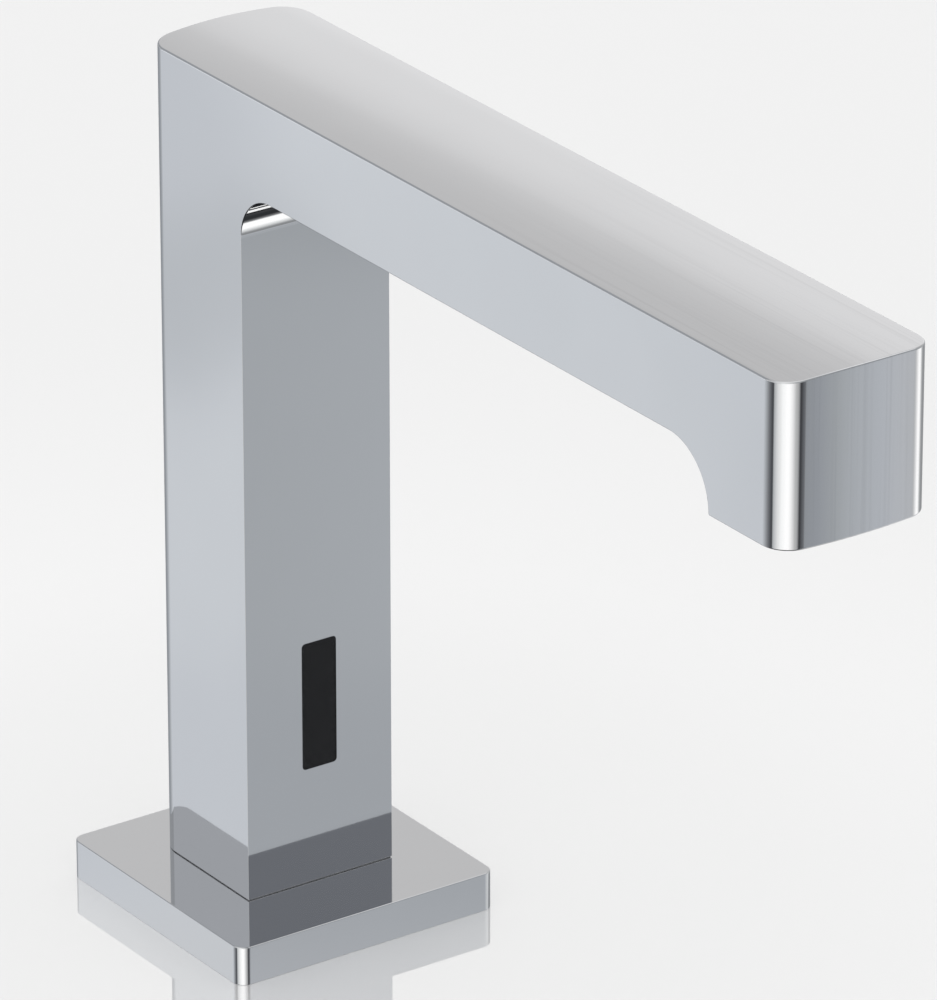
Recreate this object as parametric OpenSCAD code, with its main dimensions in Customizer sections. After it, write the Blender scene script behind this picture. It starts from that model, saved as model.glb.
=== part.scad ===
// Sensor tap for a washbasin: a square column on a flat base plate carries a straight arm,
// which drops to a square nose with the aerator in it. A sensor looks out through a dark window
// in the column's front. A solenoid valve inside the column lets the water through.
// Origin: the column's axis on the deck's surface. +Z is up and the spout points to -Y. Millimetres.

/* [Body] */
// Width of the column and of the arm
body_w = 34; // [34:0.5:42]
// Depth of the column, front to back
column_d = 32.1; // [32:0.1:40]
// Height of the arm's top edges above the deck
tap_h = 178.5; // [170:0.5:230]
// Height of the arm's side faces
arm_h = 20; // [19.5:0.5:26]
// Column axis to the front of the nose
reach = 187.3; // [120:0.1:230]
// Height of the nose, from its bottom to the arm's top edges
nose_h = 32.3; // [30:0.1:40]
// Length of the nose, front to back
nose_len = 21.7; // [21.5:0.1:26]
// Radius of the upright corners on the nose and at the column's back
corner_r = 5.7; // [5:0.1:7]
// How far the nose's front and the column's back bulge at mid width
end_bow = 0.55; // [0.3:0.05:1.5]
// How far the arm's top rises at mid width
top_crown = 0.7; // [0.3:0.05:2]
// Radius of the inside corner between column and arm
inner_fillet_r = 10; // [5:0.5:15]
// Wall of the casting
wall = 2.2; // [1.9:0.1:2.3]

/* [Base plate] */
// Side of the square base plate
plate_w = 60.4; // [56:0.2:80]
// Height of the base plate
plate_h = 8.1; // [7:0.1:12]
// Radius of the plate's upright corners
plate_corner_r = 2.1; // [1:0.1:5]
// How far the plate's middle lies in front of the column's axis
plate_forward = 2.6; // [0:0.1:4]
// Thickness of the plate's top
plate_top_t = 3; // [2:0.1:4]
// Thickness of the plate's rim
plate_rim_t = 3; // [2:0.1:5]
// Wall of the hub around the shank
hub_wall = 6; // [4:0.5:8]
// Thickness of the ribs under the plate
rib_t = 2; // [1.5:0.1:4]
// Thickness of the gasket under the plate
deck_gasket_t = 1.5; // [1:0.1:2]
// Thickness of the gasket between plate and column
joint_t = 0.2; // [0.1:0.05:0.8]
// How far that gasket lies inside the column's outline
joint_inset = 0.2; // [0.1:0.05:0.6]

/* [Sensor window] */
// Width of the window's cut-out, as a share of the body's width
window_w_share = 0.2368; // [0.2:0.0004:0.26]
// Height of the window's cut-out
window_h = 27.1; // [25:0.1:32]
// Lower edge of the cut-out above the deck
window_z = 32.8; // [32.8:0.1:36]
// Corner radius of the cut-out
window_corner_r = 0.8; // [0.5:0.1:1.5]
// How far the pane lies behind the column's face
window_recess = 0.15; // [0.1:0.05:0.4]
// Gap around the pane
pane_gap = 0.1; // [0.05:0.05:0.2]
// How far the pane's flange reaches past the cut-out
flange_margin = 2.2; // [2:0.1:2.4]
// Thickness of the pane's flange
flange_t = 1.2; // [1:0.1:1.5]
// Thickness of the window's gasket
window_gasket_t = 0.5; // [0.4:0.1:0.8]

/* [Shank and clamp] */
// Shank's side to the nearest side of the column
shank_side = 5.05; // [4.8:0.05:6]
// Wall of the shank
shank_wall = 2.5; // [2.2:0.1:2.6]
// Length of the shank below the deck's surface
shank_below = 60; // [50:1:80]
// Chamfer at the shank's lower end
shank_chamfer = 1; // [0.5:0.1:1.5]
// Thickness of the deck that is clamped at rest
deck_t = 20; // [5:1:24]
// Radius of both washers
washer_r = 23; // [21:0.5:26]
// Thickness of the rubber washer
rubber_washer_t = 3; // [2:0.5:4]
// Thickness of the steel washer
clamp_washer_t = 2.5; // [1.5:0.5:3]
// Width across the nut's flats
nut_flats = 32; // [30:1:36]
// Height of the nut with its flange
nut_h = 9.5; // [8:0.5:12]
// Radius of the nut's flange
nut_flange_r = 19.5; // [19:0.5:21]
// Thickness of the nut's flange
nut_flange_t = 1.5; // [1:0.5:2]

/* [Foot block] */
// Height of the foot block
foot_h = 21.6; // [21.3:0.1:21.8]
// Gap between the foot block and the base plate's gasket plane
foot_gap = 0.2; // [0.1:0.1:0.3]
// Play between the foot block and the column's inside
foot_fit = 0.15; // [0.1:0.05:0.2]
// Depth of the socket that takes the shank
shank_socket_h = 8; // [7.5:0.1:8.2]
// Radius of the threaded hose socket
hose_r = 4.5; // [4:0.1:4.6]
// Depth of the hose socket
hose_socket_h = 7; // [6.5:0.1:7.2]
// Hose socket to the left of the axis
hose_x = 1.9; // [1.7:0.1:2.1]
// Hose socket behind the axis
hose_y = 1.5; // [1.2:0.1:1.7]
// Bore of the cable grommet
cable_r = 2; // [1.8:0.1:2.1]
// Cable grommet to the right of the axis
cable_x = 5.9; // [5.7:0.1:6]
// Cable grommet in front of the axis
cable_y = 1.5; // [1.3:0.1:1.7]
// Wall of the cable grommet
grommet_wall = 0.9; // [0.7:0.1:1]
// Length of the cable grommet
grommet_h = 6; // [4:0.5:8]
// Radius of the filter
filter_r = 3.6; // [3.2:0.1:3.8]
// Thickness of the filter
filter_t = 1.6; // [1.2:0.1:1.7]
// Radius of the drilled water ways in the foot block
duct_r = 1.6; // [1.4:0.1:1.7]
// Least wall above and below the cross duct
duct_wall = 0.8; // [0.6:0.1:1]
// Radius of the boss around the riser tube
boss_r = 5.9; // [5.7:0.05:5.95]

/* [Screws] */
// Radius of the casting's screws
screw_r = 1.5; // [1.4:0.1:1.6]
// Radius of their heads
screw_head_r = 2.75; // [2.5:0.05:2.8]
// Height of their heads
screw_head_h = 3; // [2:0.1:3.2]
// Head seat above the foot block's underside
head_seat_h = 10; // [9:0.5:12]
// Thread depth in the lugs, from below
lug_thread_h = 6; // [5:0.5:6.5]
// Thread depth in the lugs, from above
lug_top_thread_h = 4.8; // [4:0.1:5]
// Radius of the lugs in the column's corners
lug_r = 3; // [2.8:0.1:3.1]
// Height of the lugs
lug_h = 12; // [12:0.5:14]
// Lug axis to the column's inner walls, as a share of the body's width
lug_inset_share = 0.1059; // [0.1:0.0001:0.11]

/* [Sensor module] */
// Gap between the sensor's housing and the lugs
housing_side_gap = 0.7; // [0.3:0.1:1]
// Depth of the sensor's housing
housing_d = 7.55; // [7.2:0.05:7.6]
// Wall of the sensor's housing
housing_wall = 1.5; // [1.2:0.1:1.5]
// How far the housing reaches past the window's cut-out
housing_margin = 2.4; // [2.3:0.1:2.4]
// Thickness of the circuit board
board_t = 1; // [0.8:0.1:1.2]
// Play around the circuit board
board_gap = 0.2; // [0.1:0.05:0.3]
// Side of the controller chip
chip_w = 4; // [3:0.5:5]
// Thickness of the controller chip
chip_t = 1; // [0.6:0.1:1.4]
// Radius of the infrared emitter and receiver
led_r = 1.5; // [1.2:0.1:1.8]
// Length of their cylindrical part
led_h = 2.3; // [1.5:0.1:2.5]
// Height of their collar
led_collar_h = 0.6; // [0.4:0.1:0.8]
// How far their collar stands out
led_collar = 0.25; // [0.2:0.05:0.4]
// Distance between emitter and receiver
led_pitch = 12; // [9:0.5:14]
// Thickness of the light barrier between them
barrier_t = 2; // [1.5:0.1:3]
// Sheet of the sensor's bracket
strap_t = 0.8; // [0.6:0.1:0.8]
// Height of the bracket's band
strap_h = 6; // [4:0.5:8]
// Bracket's tabs to the column's inner walls
tab_gap = 1.2; // [1.2:0.1:1.5]
// Radius of the bracket screws' heads
bracket_head_r = 2.3; // [2:0.1:2.4]
// Height of their heads
bracket_head_h = 1.6; // [1.2:0.1:2]
// Length of the bracket screws below their heads
bracket_screw_h = 5.2; // [4:0.1:5.4]

/* [Valve] */
// Sensor housing to the underside of the valve
valve_above = 9.8; // [9:0.1:20]
// Height of the valve's body
valve_h = 18; // [17.5:0.5:20]
// Play between the valve's body and the column's inside
valve_fit = 0.3; // [0.2:0.05:0.4]
// Gap beside the valve's bonnet
bonnet_side_gap = 1.8; // [1.3:0.1:2.3]
// Depth of the valve's bonnet
bonnet_d = 16.8; // [16.6:0.1:17]
// Height of the valve's bonnet
bonnet_h = 7; // [6.5:0.5:9]
// Bonnet to the column's front wall
bonnet_gap = 0.45; // [0.4:0.05:0.7]
// Corner radius of the bonnet
bonnet_corner_r = 2.5; // [2:0.1:3]
// Radius of the diaphragm
diaphragm_r = 8; // [7.8:0.1:8.1]
// Thickness of the diaphragm's rim and pad
diaphragm_t = 1; // [0.8:0.1:1.2]
// Thickness of the diaphragm's web
web_t = 0.6; // [0.4:0.1:0.7]
// Radius of the valve seat's bore
seat_r = 3; // [2.6:0.1:3.2]
// Wall of the valve seat
seat_wall = 1.2; // [1:0.1:1.4]
// Depth of the ring chamber around the seat
chamber_h = 3; // [2.5:0.1:3.5]
// Outer radius of the ring chamber
chamber_r = 7.1; // [6.8:0.1:7.2]
// Radius of the control chamber in the bonnet
control_r = 6.9; // [6.6:0.1:7]
// Height of the control chamber
control_h = 3.2; // [3.1:0.1:3.6]
// Thickness of the rigid plate on the diaphragm
pad_plate_t = 1.2; // [1:0.1:1.3]
// Radius of that plate
pad_plate_r = 5; // [4.5:0.1:5.5]
// Radius of that plate's stem
stem_r = 1.9; // [1.6:0.1:2.1]
// Radius of the pilot hole
pilot_r = 0.5; // [0.3:0.1:0.7]
// Height of the water ways' floor above the valve's underside
way_z = 9; // [8.8:0.1:9.4]
// Radius of the outlet way
way_r = 2.5; // [2:0.1:2.6]
// Radius of the inlet way
inlet_way_r = 2.2; // [2.1:0.1:2.3]
// Bonnet screws to the bonnet's sides
bonnet_screw_inset = 2.5; // [2.2:0.1:2.6]
// Half of the bonnet screws' distance front to back
bonnet_screw_y = 6.2; // [6.1:0.1:6.4]
// Radius of the bonnet screws
bonnet_screw_r = 1.2; // [1:0.1:1.2]
// Thread depth of the bonnet screws in the valve's body
bonnet_thread_h = 8; // [6:0.5:9]
// Radius of the bonnet screws' heads
bonnet_head_r = 2; // [1.8:0.1:2.1]
// Height of the bonnet screws' heads
bonnet_head_h = 1.4; // [1:0.1:1.6]

/* [Solenoid] */
// Outer radius of the armature guide
guide_r = 4.2; // [4.1:0.1:4.5]
// Wall of the armature guide
guide_wall = 0.9; // [0.7:0.1:0.9]
// Height of the armature guide
guide_h = 20; // [19.5:0.5:24]
// Radius of the guide's flange
guide_flange_r = 6; // [5.5:0.1:7]
// Thickness of the guide's flange
guide_flange_t = 1; // [0.8:0.1:1.2]
// Height of the fixed core in the guide's top
core_h = 5.5; // [5:0.1:6]
// Play between plunger and guide
plunger_fit = 0.08; // [0.05:0.01:0.1]
// Free travel of the plunger
plunger_lift = 1.5; // [1:0.1:1.7]
// Space left above the plunger at full lift
plunger_spare = 0.4; // [0.2:0.1:0.5]
// Radius of the plunger's sealing tip
tip_r = 1.2; // [1:0.1:1.6]
// Height of the plunger's sealing tip
tip_h = 1.7; // [1.2:0.1:2]
// Depth of the spring's pocket in the plunger
pocket_h = 5; // [4:0.5:8]
// Outer radius of the plunger's spring
spring_r = 1.9; // [1.6:0.1:2.1]
// Radius of the spring's wire
spring_wire_r = 0.25; // [0.2:0.05:0.3]
// Play of the spring in its pocket
spring_gap = 0.15; // [0.1:0.05:0.25]
// Number of the spring's turns
spring_turns = 6; // [4:1:8]
// Play between the bobbin and the guide
bobbin_gap = 0.1; // [0.05:0.05:0.2]
// Wall of the bobbin's core
bobbin_wall = 0.8; // [0.6:0.1:1]
// Radius of the bobbin's flanges
bobbin_r = 8.4; // [8.2:0.1:8.6]
// Thickness of the bobbin's flanges
bobbin_flange_t = 1; // [0.8:0.1:1.2]
// Height of the bobbin
bobbin_h = 14.4; // [13:0.1:14.5]
// How far the winding lies inside the flanges
winding_inset = 0.4; // [0.3:0.1:0.8]
// Sheet of the yoke
yoke_t = 1.2; // [1:0.1:1.4]
// Width of the yoke's legs, front to back
yoke_d = 7.6; // [6:0.1:7.8]
// Width of the yoke's top, front to back
yoke_top_d = 12.5; // [11:0.5:13]
// Gap between the bobbin and the yoke's legs
yoke_gap = 1.1; // [0.8:0.1:1.2]
// Gap between the bobbin and the yoke's top
yoke_top_gap = 0.1; // [0.05:0.05:0.2]
// Thickness of the retaining ring
retainer_t = 1; // [0.8:0.1:1.2]
// Outer radius of the retaining ring
retainer_r = 7; // [6:0.5:8]

/* [Tubes] */
// Outer radius of the water tubes
tube_r = 4; // [3.8:0.1:4]
// Wall of the water tubes
tube_wall = 1; // [0.8:0.1:1.2]
// Depth of the tubes' sockets
tube_socket_h = 6; // [5.5:0.1:6]
// Play of the tubes in their sockets
tube_fit = 0.05; // [0.03:0.01:0.08]
// Radius of the bend in the outlet tube
bend_r = 14; // [12:0.5:20]
// Outlet tube to the column's back wall
outlet_gap = 1.55; // [1.5:0.05:1.6]
// Riser tube's axis to the column's left inner wall
riser_side = 9.3; // [9.1:0.1:9.4]
// Riser tube behind the axis
riser_y = 1.6; // [1.5:0.1:1.8]
// Radius of the sealing rings' section on the tubes
ring_r = 0.5; // [0.4:0.05:0.5]
// Height of the sealing rings' grooves
groove_h = 1.3; // [1.2:0.1:1.5]
// Depth of the sealing rings below their sockets' mouths
ring_depth = 2; // [1.9:0.1:2.4]

/* [Lead] */
// Radius of the coil's lead
lead_r = 0.9; // [0.7:0.1:1]
// Play of the lead in the valve's body
lead_play = 0.4; // [0.2:0.1:0.5]
// Lead to the right of the axis at the sensor's housing
lead_x = 4; // [3.5:0.1:4.5]
// Lead in front of the axis at the sensor's housing
lead_y = 7.5; // [7.5:0.1:8.5]
// Lead to the right of the axis in the valve's body
lead_hole_x = 8.5; // [8:0.1:9]
// Lead behind the axis in the valve's body
lead_hole_y = 8.5; // [8:0.1:9]
// How fast the lead's curves leave their ends
lead_pull = 6; // [5:0.5:8]

/* [Nose and aerator] */
// Radius of the aerator's thread
aerator_r = 9.2; // [9:0.05:9.2]
// Depth of the aerator's bore
aerator_depth = 10; // [9:0.5:11]
// How far the aerator lies inside the nose
aerator_recess = 0.4; // [0.2:0.1:1]
// Wall of the aerator's housing
aerator_wall = 1.5; // [1.2:0.1:1.8]
// Thickness of the lip under the aerator's insert
lip_t = 1; // [0.8:0.1:1.5]
// How far that lip reaches in
lip_w = 0.8; // [0.5:0.1:1]
// Number of key notches in the housing's rim
notch_count = 12; // [6:1:16]
// Width of the key notches
notch_w = 1.2; // [0.8:0.1:1.6]
// Depth of the key notches
notch_h = 0.8; // [0.5:0.1:0.9]
// Height of the aerator's insert
insert_h = 5; // [4:0.1:5.5]
// Radius of the jets in the insert
jet_r = 0.65; // [0.4:0.05:0.7]
// Distance between the rings of jets
jet_pitch = 2.2; // [1.8:0.1:2.3]
// Number of jets in the first ring around the middle
jet_count = 6; // [5:1:7]
// Thickness of the aerator's screen
screen_t = 0.4; // [0.3:0.1:0.6]
// Rise of the screen's middle
screen_rise = 0.8; // [0.4:0.1:1]
// Thickness of the aerator's seal
aerator_seal_t = 1.5; // [1:0.1:2]
// Radius of the elbow's spigot
spigot_r = 7; // [6.8:0.1:7.1]
// Wall of the elbow's spigot
spigot_wall = 1.9; // [1.6:0.1:2]
// Radius of the elbow's housing
elbow_r = 8; // [7.5:0.1:8.4]
// Elbow axis to the mouth of its tube socket
elbow_l = 16; // [15:0.5:20]
// Elbow to the arm's ceiling
elbow_top_gap = 0.8; // [0.5:0.1:1.2]
// Wall around the elbow's tube socket
elbow_wall = 2.2; // [2:0.1:2.4]
// Radius of the sealing ring's section on the spigot
spigot_ring_r = 0.6; // [0.5:0.05:0.7]

/* [Hidden] */
// Which node is drawn
// Overrun of every cut
over = 0.5;
// Play of a screwed or turning fit, as a gap in radius
thread_fit = 0.05;
// Gap between flat faces that turn on each other
slip_gap = 0.05;
// Gap between pieces that move past each other or are only laid together
seat_gap = 0.3;
// Play of a screw in its clearance hole
hole_play = 0.15;
// Play of small pieces in their pockets
pocket_play = 0.1;
$fn = 96;

// Main planes of the body
front_y = -column_d / 2;
under_z = tap_h - arm_h;
nose_z = tap_h - nose_h;
nose_rear_y = nose_len - reach;
arch_r = nose_h - arm_h;
body_z = plate_h + joint_t;
ceiling_z = tap_h - wall;
arm_floor_z = under_z + wall;
// Inside of the column
cav_w = body_w - 2 * wall;
cav_d = column_d - 2 * wall;
cav_r = corner_r - wall;
shank_r = min(body_w, column_d) / 2 - shank_side;
riser_x = cav_w / 2 - riser_side;
in_front_y = front_y + wall;
in_back_y = column_d / 2 - wall;
// Circles of the bowed ends
bow_half_w = body_w / 2 - corner_r;
bow_r = (pow(bow_half_w, 2) + pow(end_bow, 2)) / (2 * end_bow);
bow_y = sqrt(pow(bow_r - corner_r, 2) - pow(bow_half_w, 2));
// Number of flat strips that make the crowned top
crown_strips = 16;
// Steps in a turn of the spring, and sides of its wire and of the lead
turn_steps = 12;
wire_sides = 6;
lead_sides = 8;
// Slope past which a swept tube takes its first side from the X axis
steep_share = 0.7;
// How far past its arc the wedge of a bowed end is drawn
bow_reach_share = 1.2;

// Heights in the foot block
foot_z = body_z + foot_gap;
foot_top_z = foot_z + foot_h;
shank_top_z = foot_z + shank_socket_h;
hose_top_z = shank_top_z + hose_socket_h;
filter_top_z = hose_top_z + filter_t;
duct_z = filter_top_z + duct_wall + duct_r;
riser_floor_z = duct_z + duct_r + duct_wall;
boss_top_z = riser_floor_z + tube_socket_h;
head_seat_z = foot_z + head_seat_h;
lug_inset = lug_inset_share * body_w;
tab_reach = lug_inset - tab_gap;
lug_x = cav_w / 2 - lug_inset;
lug_y = cav_d / 2 - lug_inset;
lug_top_z = foot_top_z + lug_h;

// Sensor module
window_w = window_w_share * body_w;
housing_w = 2 * (lug_x - lug_r - housing_side_gap);
window_mid_z = window_z + window_h / 2;
flange_y = in_front_y + window_gasket_t;
housing_y = flange_y + flange_t;
housing_back_y = housing_y + housing_d;
housing_h = window_h + 2 * housing_margin;
housing_top_z = window_mid_z + housing_h / 2;
housing_r = housing_wall;
board_back_y = housing_back_y - housing_wall;
board_y = board_back_y - board_t;
board_w = housing_w - 2 * housing_wall - 2 * board_gap;
board_h = housing_h - 2 * housing_wall - 2 * board_gap;
// Places of the parts on the board, as shares of its height from its middle
chip_share = 0.37;
small_chip_share = 0.4;
small_chip_size_share = 0.5;
strap_x = housing_w / 2 + pocket_play;

// Valve
valve_z = housing_top_z + valve_above;
valve_top_z = valve_z + valve_h;
valve_y = in_front_y + bonnet_gap + bonnet_d / 2;
bonnet_w = cav_w - 2 * bonnet_side_gap;
bonnet_screw_x = bonnet_w / 2 - bonnet_screw_inset;
bonnet_top_z = valve_top_z + bonnet_h;
outlet_y = in_back_y - outlet_gap - tube_r;
outlet_floor_z = valve_top_z - tube_socket_h;
seat_top_z = valve_top_z - diaphragm_t;
pad_top_z = valve_top_z + pad_plate_t;
plunger_z = pad_top_z + slip_gap;
bore_r = guide_r - guide_wall;
core_z = bonnet_top_z + guide_h - core_h;
plunger_top_z = core_z - plunger_lift - plunger_spare;
plunger_r = bore_r - plunger_fit;
spring_z = plunger_top_z - pocket_h;
bobbin_z = bonnet_top_z + bonnet_head_h + pocket_play;
yoke_in_x = bobbin_r + yoke_gap;
yoke_top_z = bobbin_z + bobbin_h + yoke_top_gap;
winding_r = bobbin_r - winding_inset;

// Outlet tube and nose
tube_z = (arm_floor_z + ceiling_z) / 2;
aerator_y = nose_rear_y - nose_len / 2;
aerator_seat_z = nose_z + aerator_depth;
aerator_z = nose_z + aerator_recess;
aerator_top_z = aerator_seat_z - aerator_seal_t - 2 * slip_gap;
insert_r = aerator_r - aerator_wall - pocket_play;
insert_z = aerator_z + lip_t;
spigot_z = aerator_seat_z + seat_gap;
elbow_ring_z = (spigot_z + arm_floor_z) / 2;
elbow_mouth_y = aerator_y + elbow_l;
elbow_top_z = ceiling_z - elbow_top_gap;
// Radius of a tube socket, of its ring groove and of the ring's middle line
socket_r = tube_r + tube_fit;
ring_mid_r = tube_r + ring_r + tube_fit / 2;
groove_r = tube_r + 2 * ring_r + tube_fit;

// Clamp under the deck
rubber_z = -deck_t - rubber_washer_t;
clamp_z = rubber_z - clamp_washer_t;
nut_top_z = clamp_z - slip_gap;

// Middle line of the coil's lead, from the sensor's housing through the valve to the winding
lead_steps = 9;
lead_up = [0, 0, lead_pull];
lead_foot = [lead_x, -lead_y, housing_top_z - housing_wall];
lead_start = [lead_x, -lead_y, housing_top_z + lead_r];
lead_in = [lead_hole_x, lead_hole_y, valve_z - lead_r];
lead_out = [lead_hole_x, lead_hole_y, valve_top_z + lead_r];
winding_axis = [0, valve_y, bobbin_z + bobbin_h / 2];
lead_heading = [lead_hole_x, lead_hole_y - valve_y, 0] / norm([lead_hole_x, lead_hole_y - valve_y]);
lead_end = winding_axis + (winding_r + seat_gap) * lead_heading;
lead_route = concat(
    [lead_foot],
    curve(lead_start, lead_up, lead_in, lead_up, lead_steps),
    curve(lead_out, lead_up, lead_end, -lead_pull * lead_heading, lead_steps)
);

// Rectangle with round corners, centred on the origin
module rounded(w, d, r) {
    square([w - 2 * r, d], center = true);
    square([w, d - 2 * r], center = true);
    for (x = [-1, 1], y = [-1, 1])
        translate([x * (w / 2 - r), y * (d / 2 - r)]) circle(r);
}

// Upright prism from z0 to z1
module prism(z0, z1) {
    translate([0, 0, z0]) linear_extrude(z1 - z0) children();
}

// Upright cylinder from z0 to z1
module rod(r, z0, z1) {
    translate([0, 0, z0]) cylinder(h = z1 - z0, r = r);
}

// Upright ring or tube from z0 to z1
module ring(r_out, r_in, z0, z1) {
    difference() {
        rod(r_out, z0, z1);
        rod(r_in, z0 - over, z1 + over);
    }
}

// Plate that lies behind the window, drawn upright at the window's middle
module behind_window(y0, t) {
    translate([0, y0, window_mid_z]) rotate([-90, 0, 0]) linear_extrude(t) children();
}

// Wedge of a bowed end, between the rays through its corners' centres
module bow_sector(dir) {
    far = bow_reach_share * bow_r / (bow_r - corner_r);
    intersection() {
        circle(bow_r);
        polygon([[0, 0], [-far * bow_half_w, dir * far * bow_y], [far * bow_half_w, dir * far * bow_y]]);
    }
}

// Plan of the whole body: straight sides, round corners and bowed ends
module body_plan() {
    nose_corner_y = corner_r - reach;
    back_corner_y = column_d / 2 - corner_r;
    translate([-body_w / 2, nose_corner_y]) square([body_w, back_corner_y - nose_corner_y]);
    for (x = [-1, 1], y = [nose_corner_y, back_corner_y])
        translate([x * bow_half_w, y]) circle(corner_r);
    translate([0, nose_corner_y + bow_y]) bow_sector(-1);
    translate([0, back_corner_y - bow_y]) bow_sector(1);
}

// Open space under the arm, seen from the side as (y, z)
module under_arm() {
    far_y = -reach - body_w;
    arch_y = nose_rear_y + arch_r;
    translate([far_y, 0]) square([front_y - far_y, nose_z]);
    translate([arch_y, 0]) square([front_y - inner_fillet_r - arch_y, under_z]);
    translate([arch_y, 0]) square([front_y - arch_y, under_z - inner_fillet_r]);
    translate([arch_y, nose_z]) circle(arch_r);
    translate([front_y - inner_fillet_r, under_z - inner_fillet_r]) circle(inner_fillet_r);
}

// Side view of the body as (y, z), drawn past its ends and its top
module side_view() {
    difference() {
        translate([-reach - body_w / 2, body_z])
            square([reach + column_d / 2 + body_w, tap_h + body_w / 2 - body_z]);
        under_arm();
    }
}

// Height of the crowned top at x
function crown_z(x) = tap_h + top_crown * (1 - pow(2 * x / body_w, 2));

// Front view of the body as (x, z)
module front_view() {
    top = [for (i = [0:crown_strips]) let (x = body_w * (i / crown_strips) - body_w / 2) [x, crown_z(x)]];
    polygon(concat([[body_w / 2, body_z - over], [-body_w / 2, body_z - over]], top));
}

module body_outside() {
    intersection() {
        prism(body_z, tap_h + body_w / 2) body_plan();
        translate([-body_w, 0, 0]) rotate([90, 0, 90]) linear_extrude(2 * body_w) side_view();
        translate([0, body_w, 0]) rotate([90, 0, 0]) linear_extrude(reach + 2 * body_w) front_view();
    }
}

// Lugs in the column's corners, with webs into both walls
module corner_lugs() {
    prism(foot_top_z, lug_top_z)
        for (x = [-1, 1], y = [-1, 1]) translate([x * lug_x, y * lug_y]) lug_plan(x, y);
}

module lug_plan(x, y) {
    circle(lug_r);
    translate([x > 0 ? 0 : -lug_inset - over, -lug_r]) square([lug_inset + over, 2 * lug_r]);
    translate([-lug_r, y > 0 ? 0 : -lug_inset - over]) square([2 * lug_r, lug_inset + over]);
}

module body_inside() {
    difference() {
        union() {
            prism(body_z - over, ceiling_z) rounded(cav_w, cav_d, cav_r);
            prism(arm_floor_z, ceiling_z) {
                translate([-cav_w / 2, wall + cav_r - reach]) square([cav_w, reach - wall - cav_r]);
                translate([-cav_w / 2 + cav_r, wall - reach]) square([cav_w - 2 * cav_r, reach]);
                for (x = [-1, 1])
                    translate([x * (cav_w / 2 - cav_r), wall + cav_r - reach]) circle(cav_r);
            }
        }
        corner_lugs();
    }
}

module body_shell() {
    color("#c3c6cb") difference() {
        body_outside();
        body_inside();
        behind_window(front_y - over, wall + 2 * over) rounded(window_w, window_h, window_corner_r);
        for (x = [-1, 1], y = [-1, 1]) translate([x * lug_x, y * lug_y, 0])
            rod(screw_r + thread_fit, foot_top_z - over, foot_top_z + lug_thread_h);
        for (x = [-1, 1]) translate([x * lug_x, -lug_y, 0])
            rod(screw_r + thread_fit, lug_top_z - lug_top_thread_h, lug_top_z + over);
        translate([0, aerator_y, 0]) {
            rod(aerator_r + thread_fit, nose_z - over, aerator_seat_z);
            rod(spigot_r + tube_fit, nose_z, arm_floor_z + over);
        }
    }
}

module base_plate() {
    hub_r = shank_r + hub_wall;
    inner_w = plate_w - 2 * plate_rim_t;
    color("#b9bcc1") difference() {
        translate([0, -plate_forward]) prism(0, plate_h) rounded(plate_w, plate_w, plate_corner_r);
        difference() {
            translate([0, -plate_forward]) prism(-over, plate_h - plate_top_t)
                square([inner_w, inner_w], center = true);
            rod(hub_r, deck_gasket_t, plate_h);
            prism(deck_gasket_t, plate_h) for (a = [0, 90])
                rotate(a) square([rib_t, 2 * plate_w], center = true);
        }
        rod(shank_r + seat_gap, -over, plate_h + over);
    }
}

module deck_gasket() {
    side = plate_w - 2 * plate_rim_t - 2 * board_gap;
    color("#2b2b2c") difference() {
        translate([0, -plate_forward]) prism(0, deck_gasket_t) square([side, side], center = true);
        rod(shank_r + 2 * seat_gap, -over, deck_gasket_t + over);
    }
}

module column_gasket() {
    w = body_w - 2 * joint_inset;
    back_y = column_d / 2 - joint_inset;
    r = corner_r - joint_inset;
    color("#2b2b2c") prism(plate_h, body_z) difference() {
        union() {
            translate([-w / 2, front_y + joint_inset]) square([w, back_y - r - front_y - joint_inset]);
            translate([r - w / 2, front_y + joint_inset]) square([w - 2 * r, back_y - front_y - joint_inset]);
            for (x = [-1, 1]) translate([x * (w / 2 - r), back_y - r]) circle(r);
        }
        rounded(cav_w, cav_d, cav_r);
    }
}

module foot_block() {
    color("#b08d4c") difference() {
        union() {
            prism(foot_z, foot_top_z)
                rounded(cav_w - 2 * foot_fit, cav_d - 2 * foot_fit, cav_r - foot_fit);
            translate([-riser_x, riser_y, 0]) rod(boss_r, foot_z + shank_socket_h, boss_top_z);
        }
        rod(shank_r + thread_fit, foot_z - over, shank_top_z);
        translate([-hose_x, hose_y, 0]) {
            rod(hose_r, shank_top_z - over, hose_top_z);
            rod(filter_r + pocket_play, hose_top_z - over, filter_top_z);
            rod(duct_r, filter_top_z - over, duct_z);
        }
        translate([-hose_x, hose_y, duct_z]) rotate([0, 90, atan2(riser_y - hose_y, hose_x - riser_x)])
            cylinder(h = norm([hose_x - riser_x, riser_y - hose_y]), r = duct_r - pocket_play);
        translate([-riser_x, riser_y, 0]) {
            rod(duct_r, duct_z, riser_floor_z + over);
            rod(socket_r, riser_floor_z, boss_top_z + over);
            ring_groove(boss_top_z - ring_depth);
        }
        translate([cable_x, -cable_y, 0])
            rod(cable_r + grommet_wall + thread_fit, shank_top_z - over, foot_top_z + over);
        for (x = [-1, 1], y = [-1, 1]) translate([x * lug_x, y * lug_y, 0]) {
            rod(screw_head_r + hole_play, foot_z - over, head_seat_z);
            rod(screw_r + hole_play, foot_z, foot_top_z + over);
        }
    }
}

module foot_screws() {
    color("#8f9398") for (x = [-1, 1], y = [-1, 1]) translate([x * lug_x, y * lug_y, 0]) {
        rod(screw_head_r, head_seat_z - screw_head_h, head_seat_z);
        rod(screw_r, head_seat_z - screw_head_h / 2, foot_top_z + lug_thread_h - slip_gap);
    }
}

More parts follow.
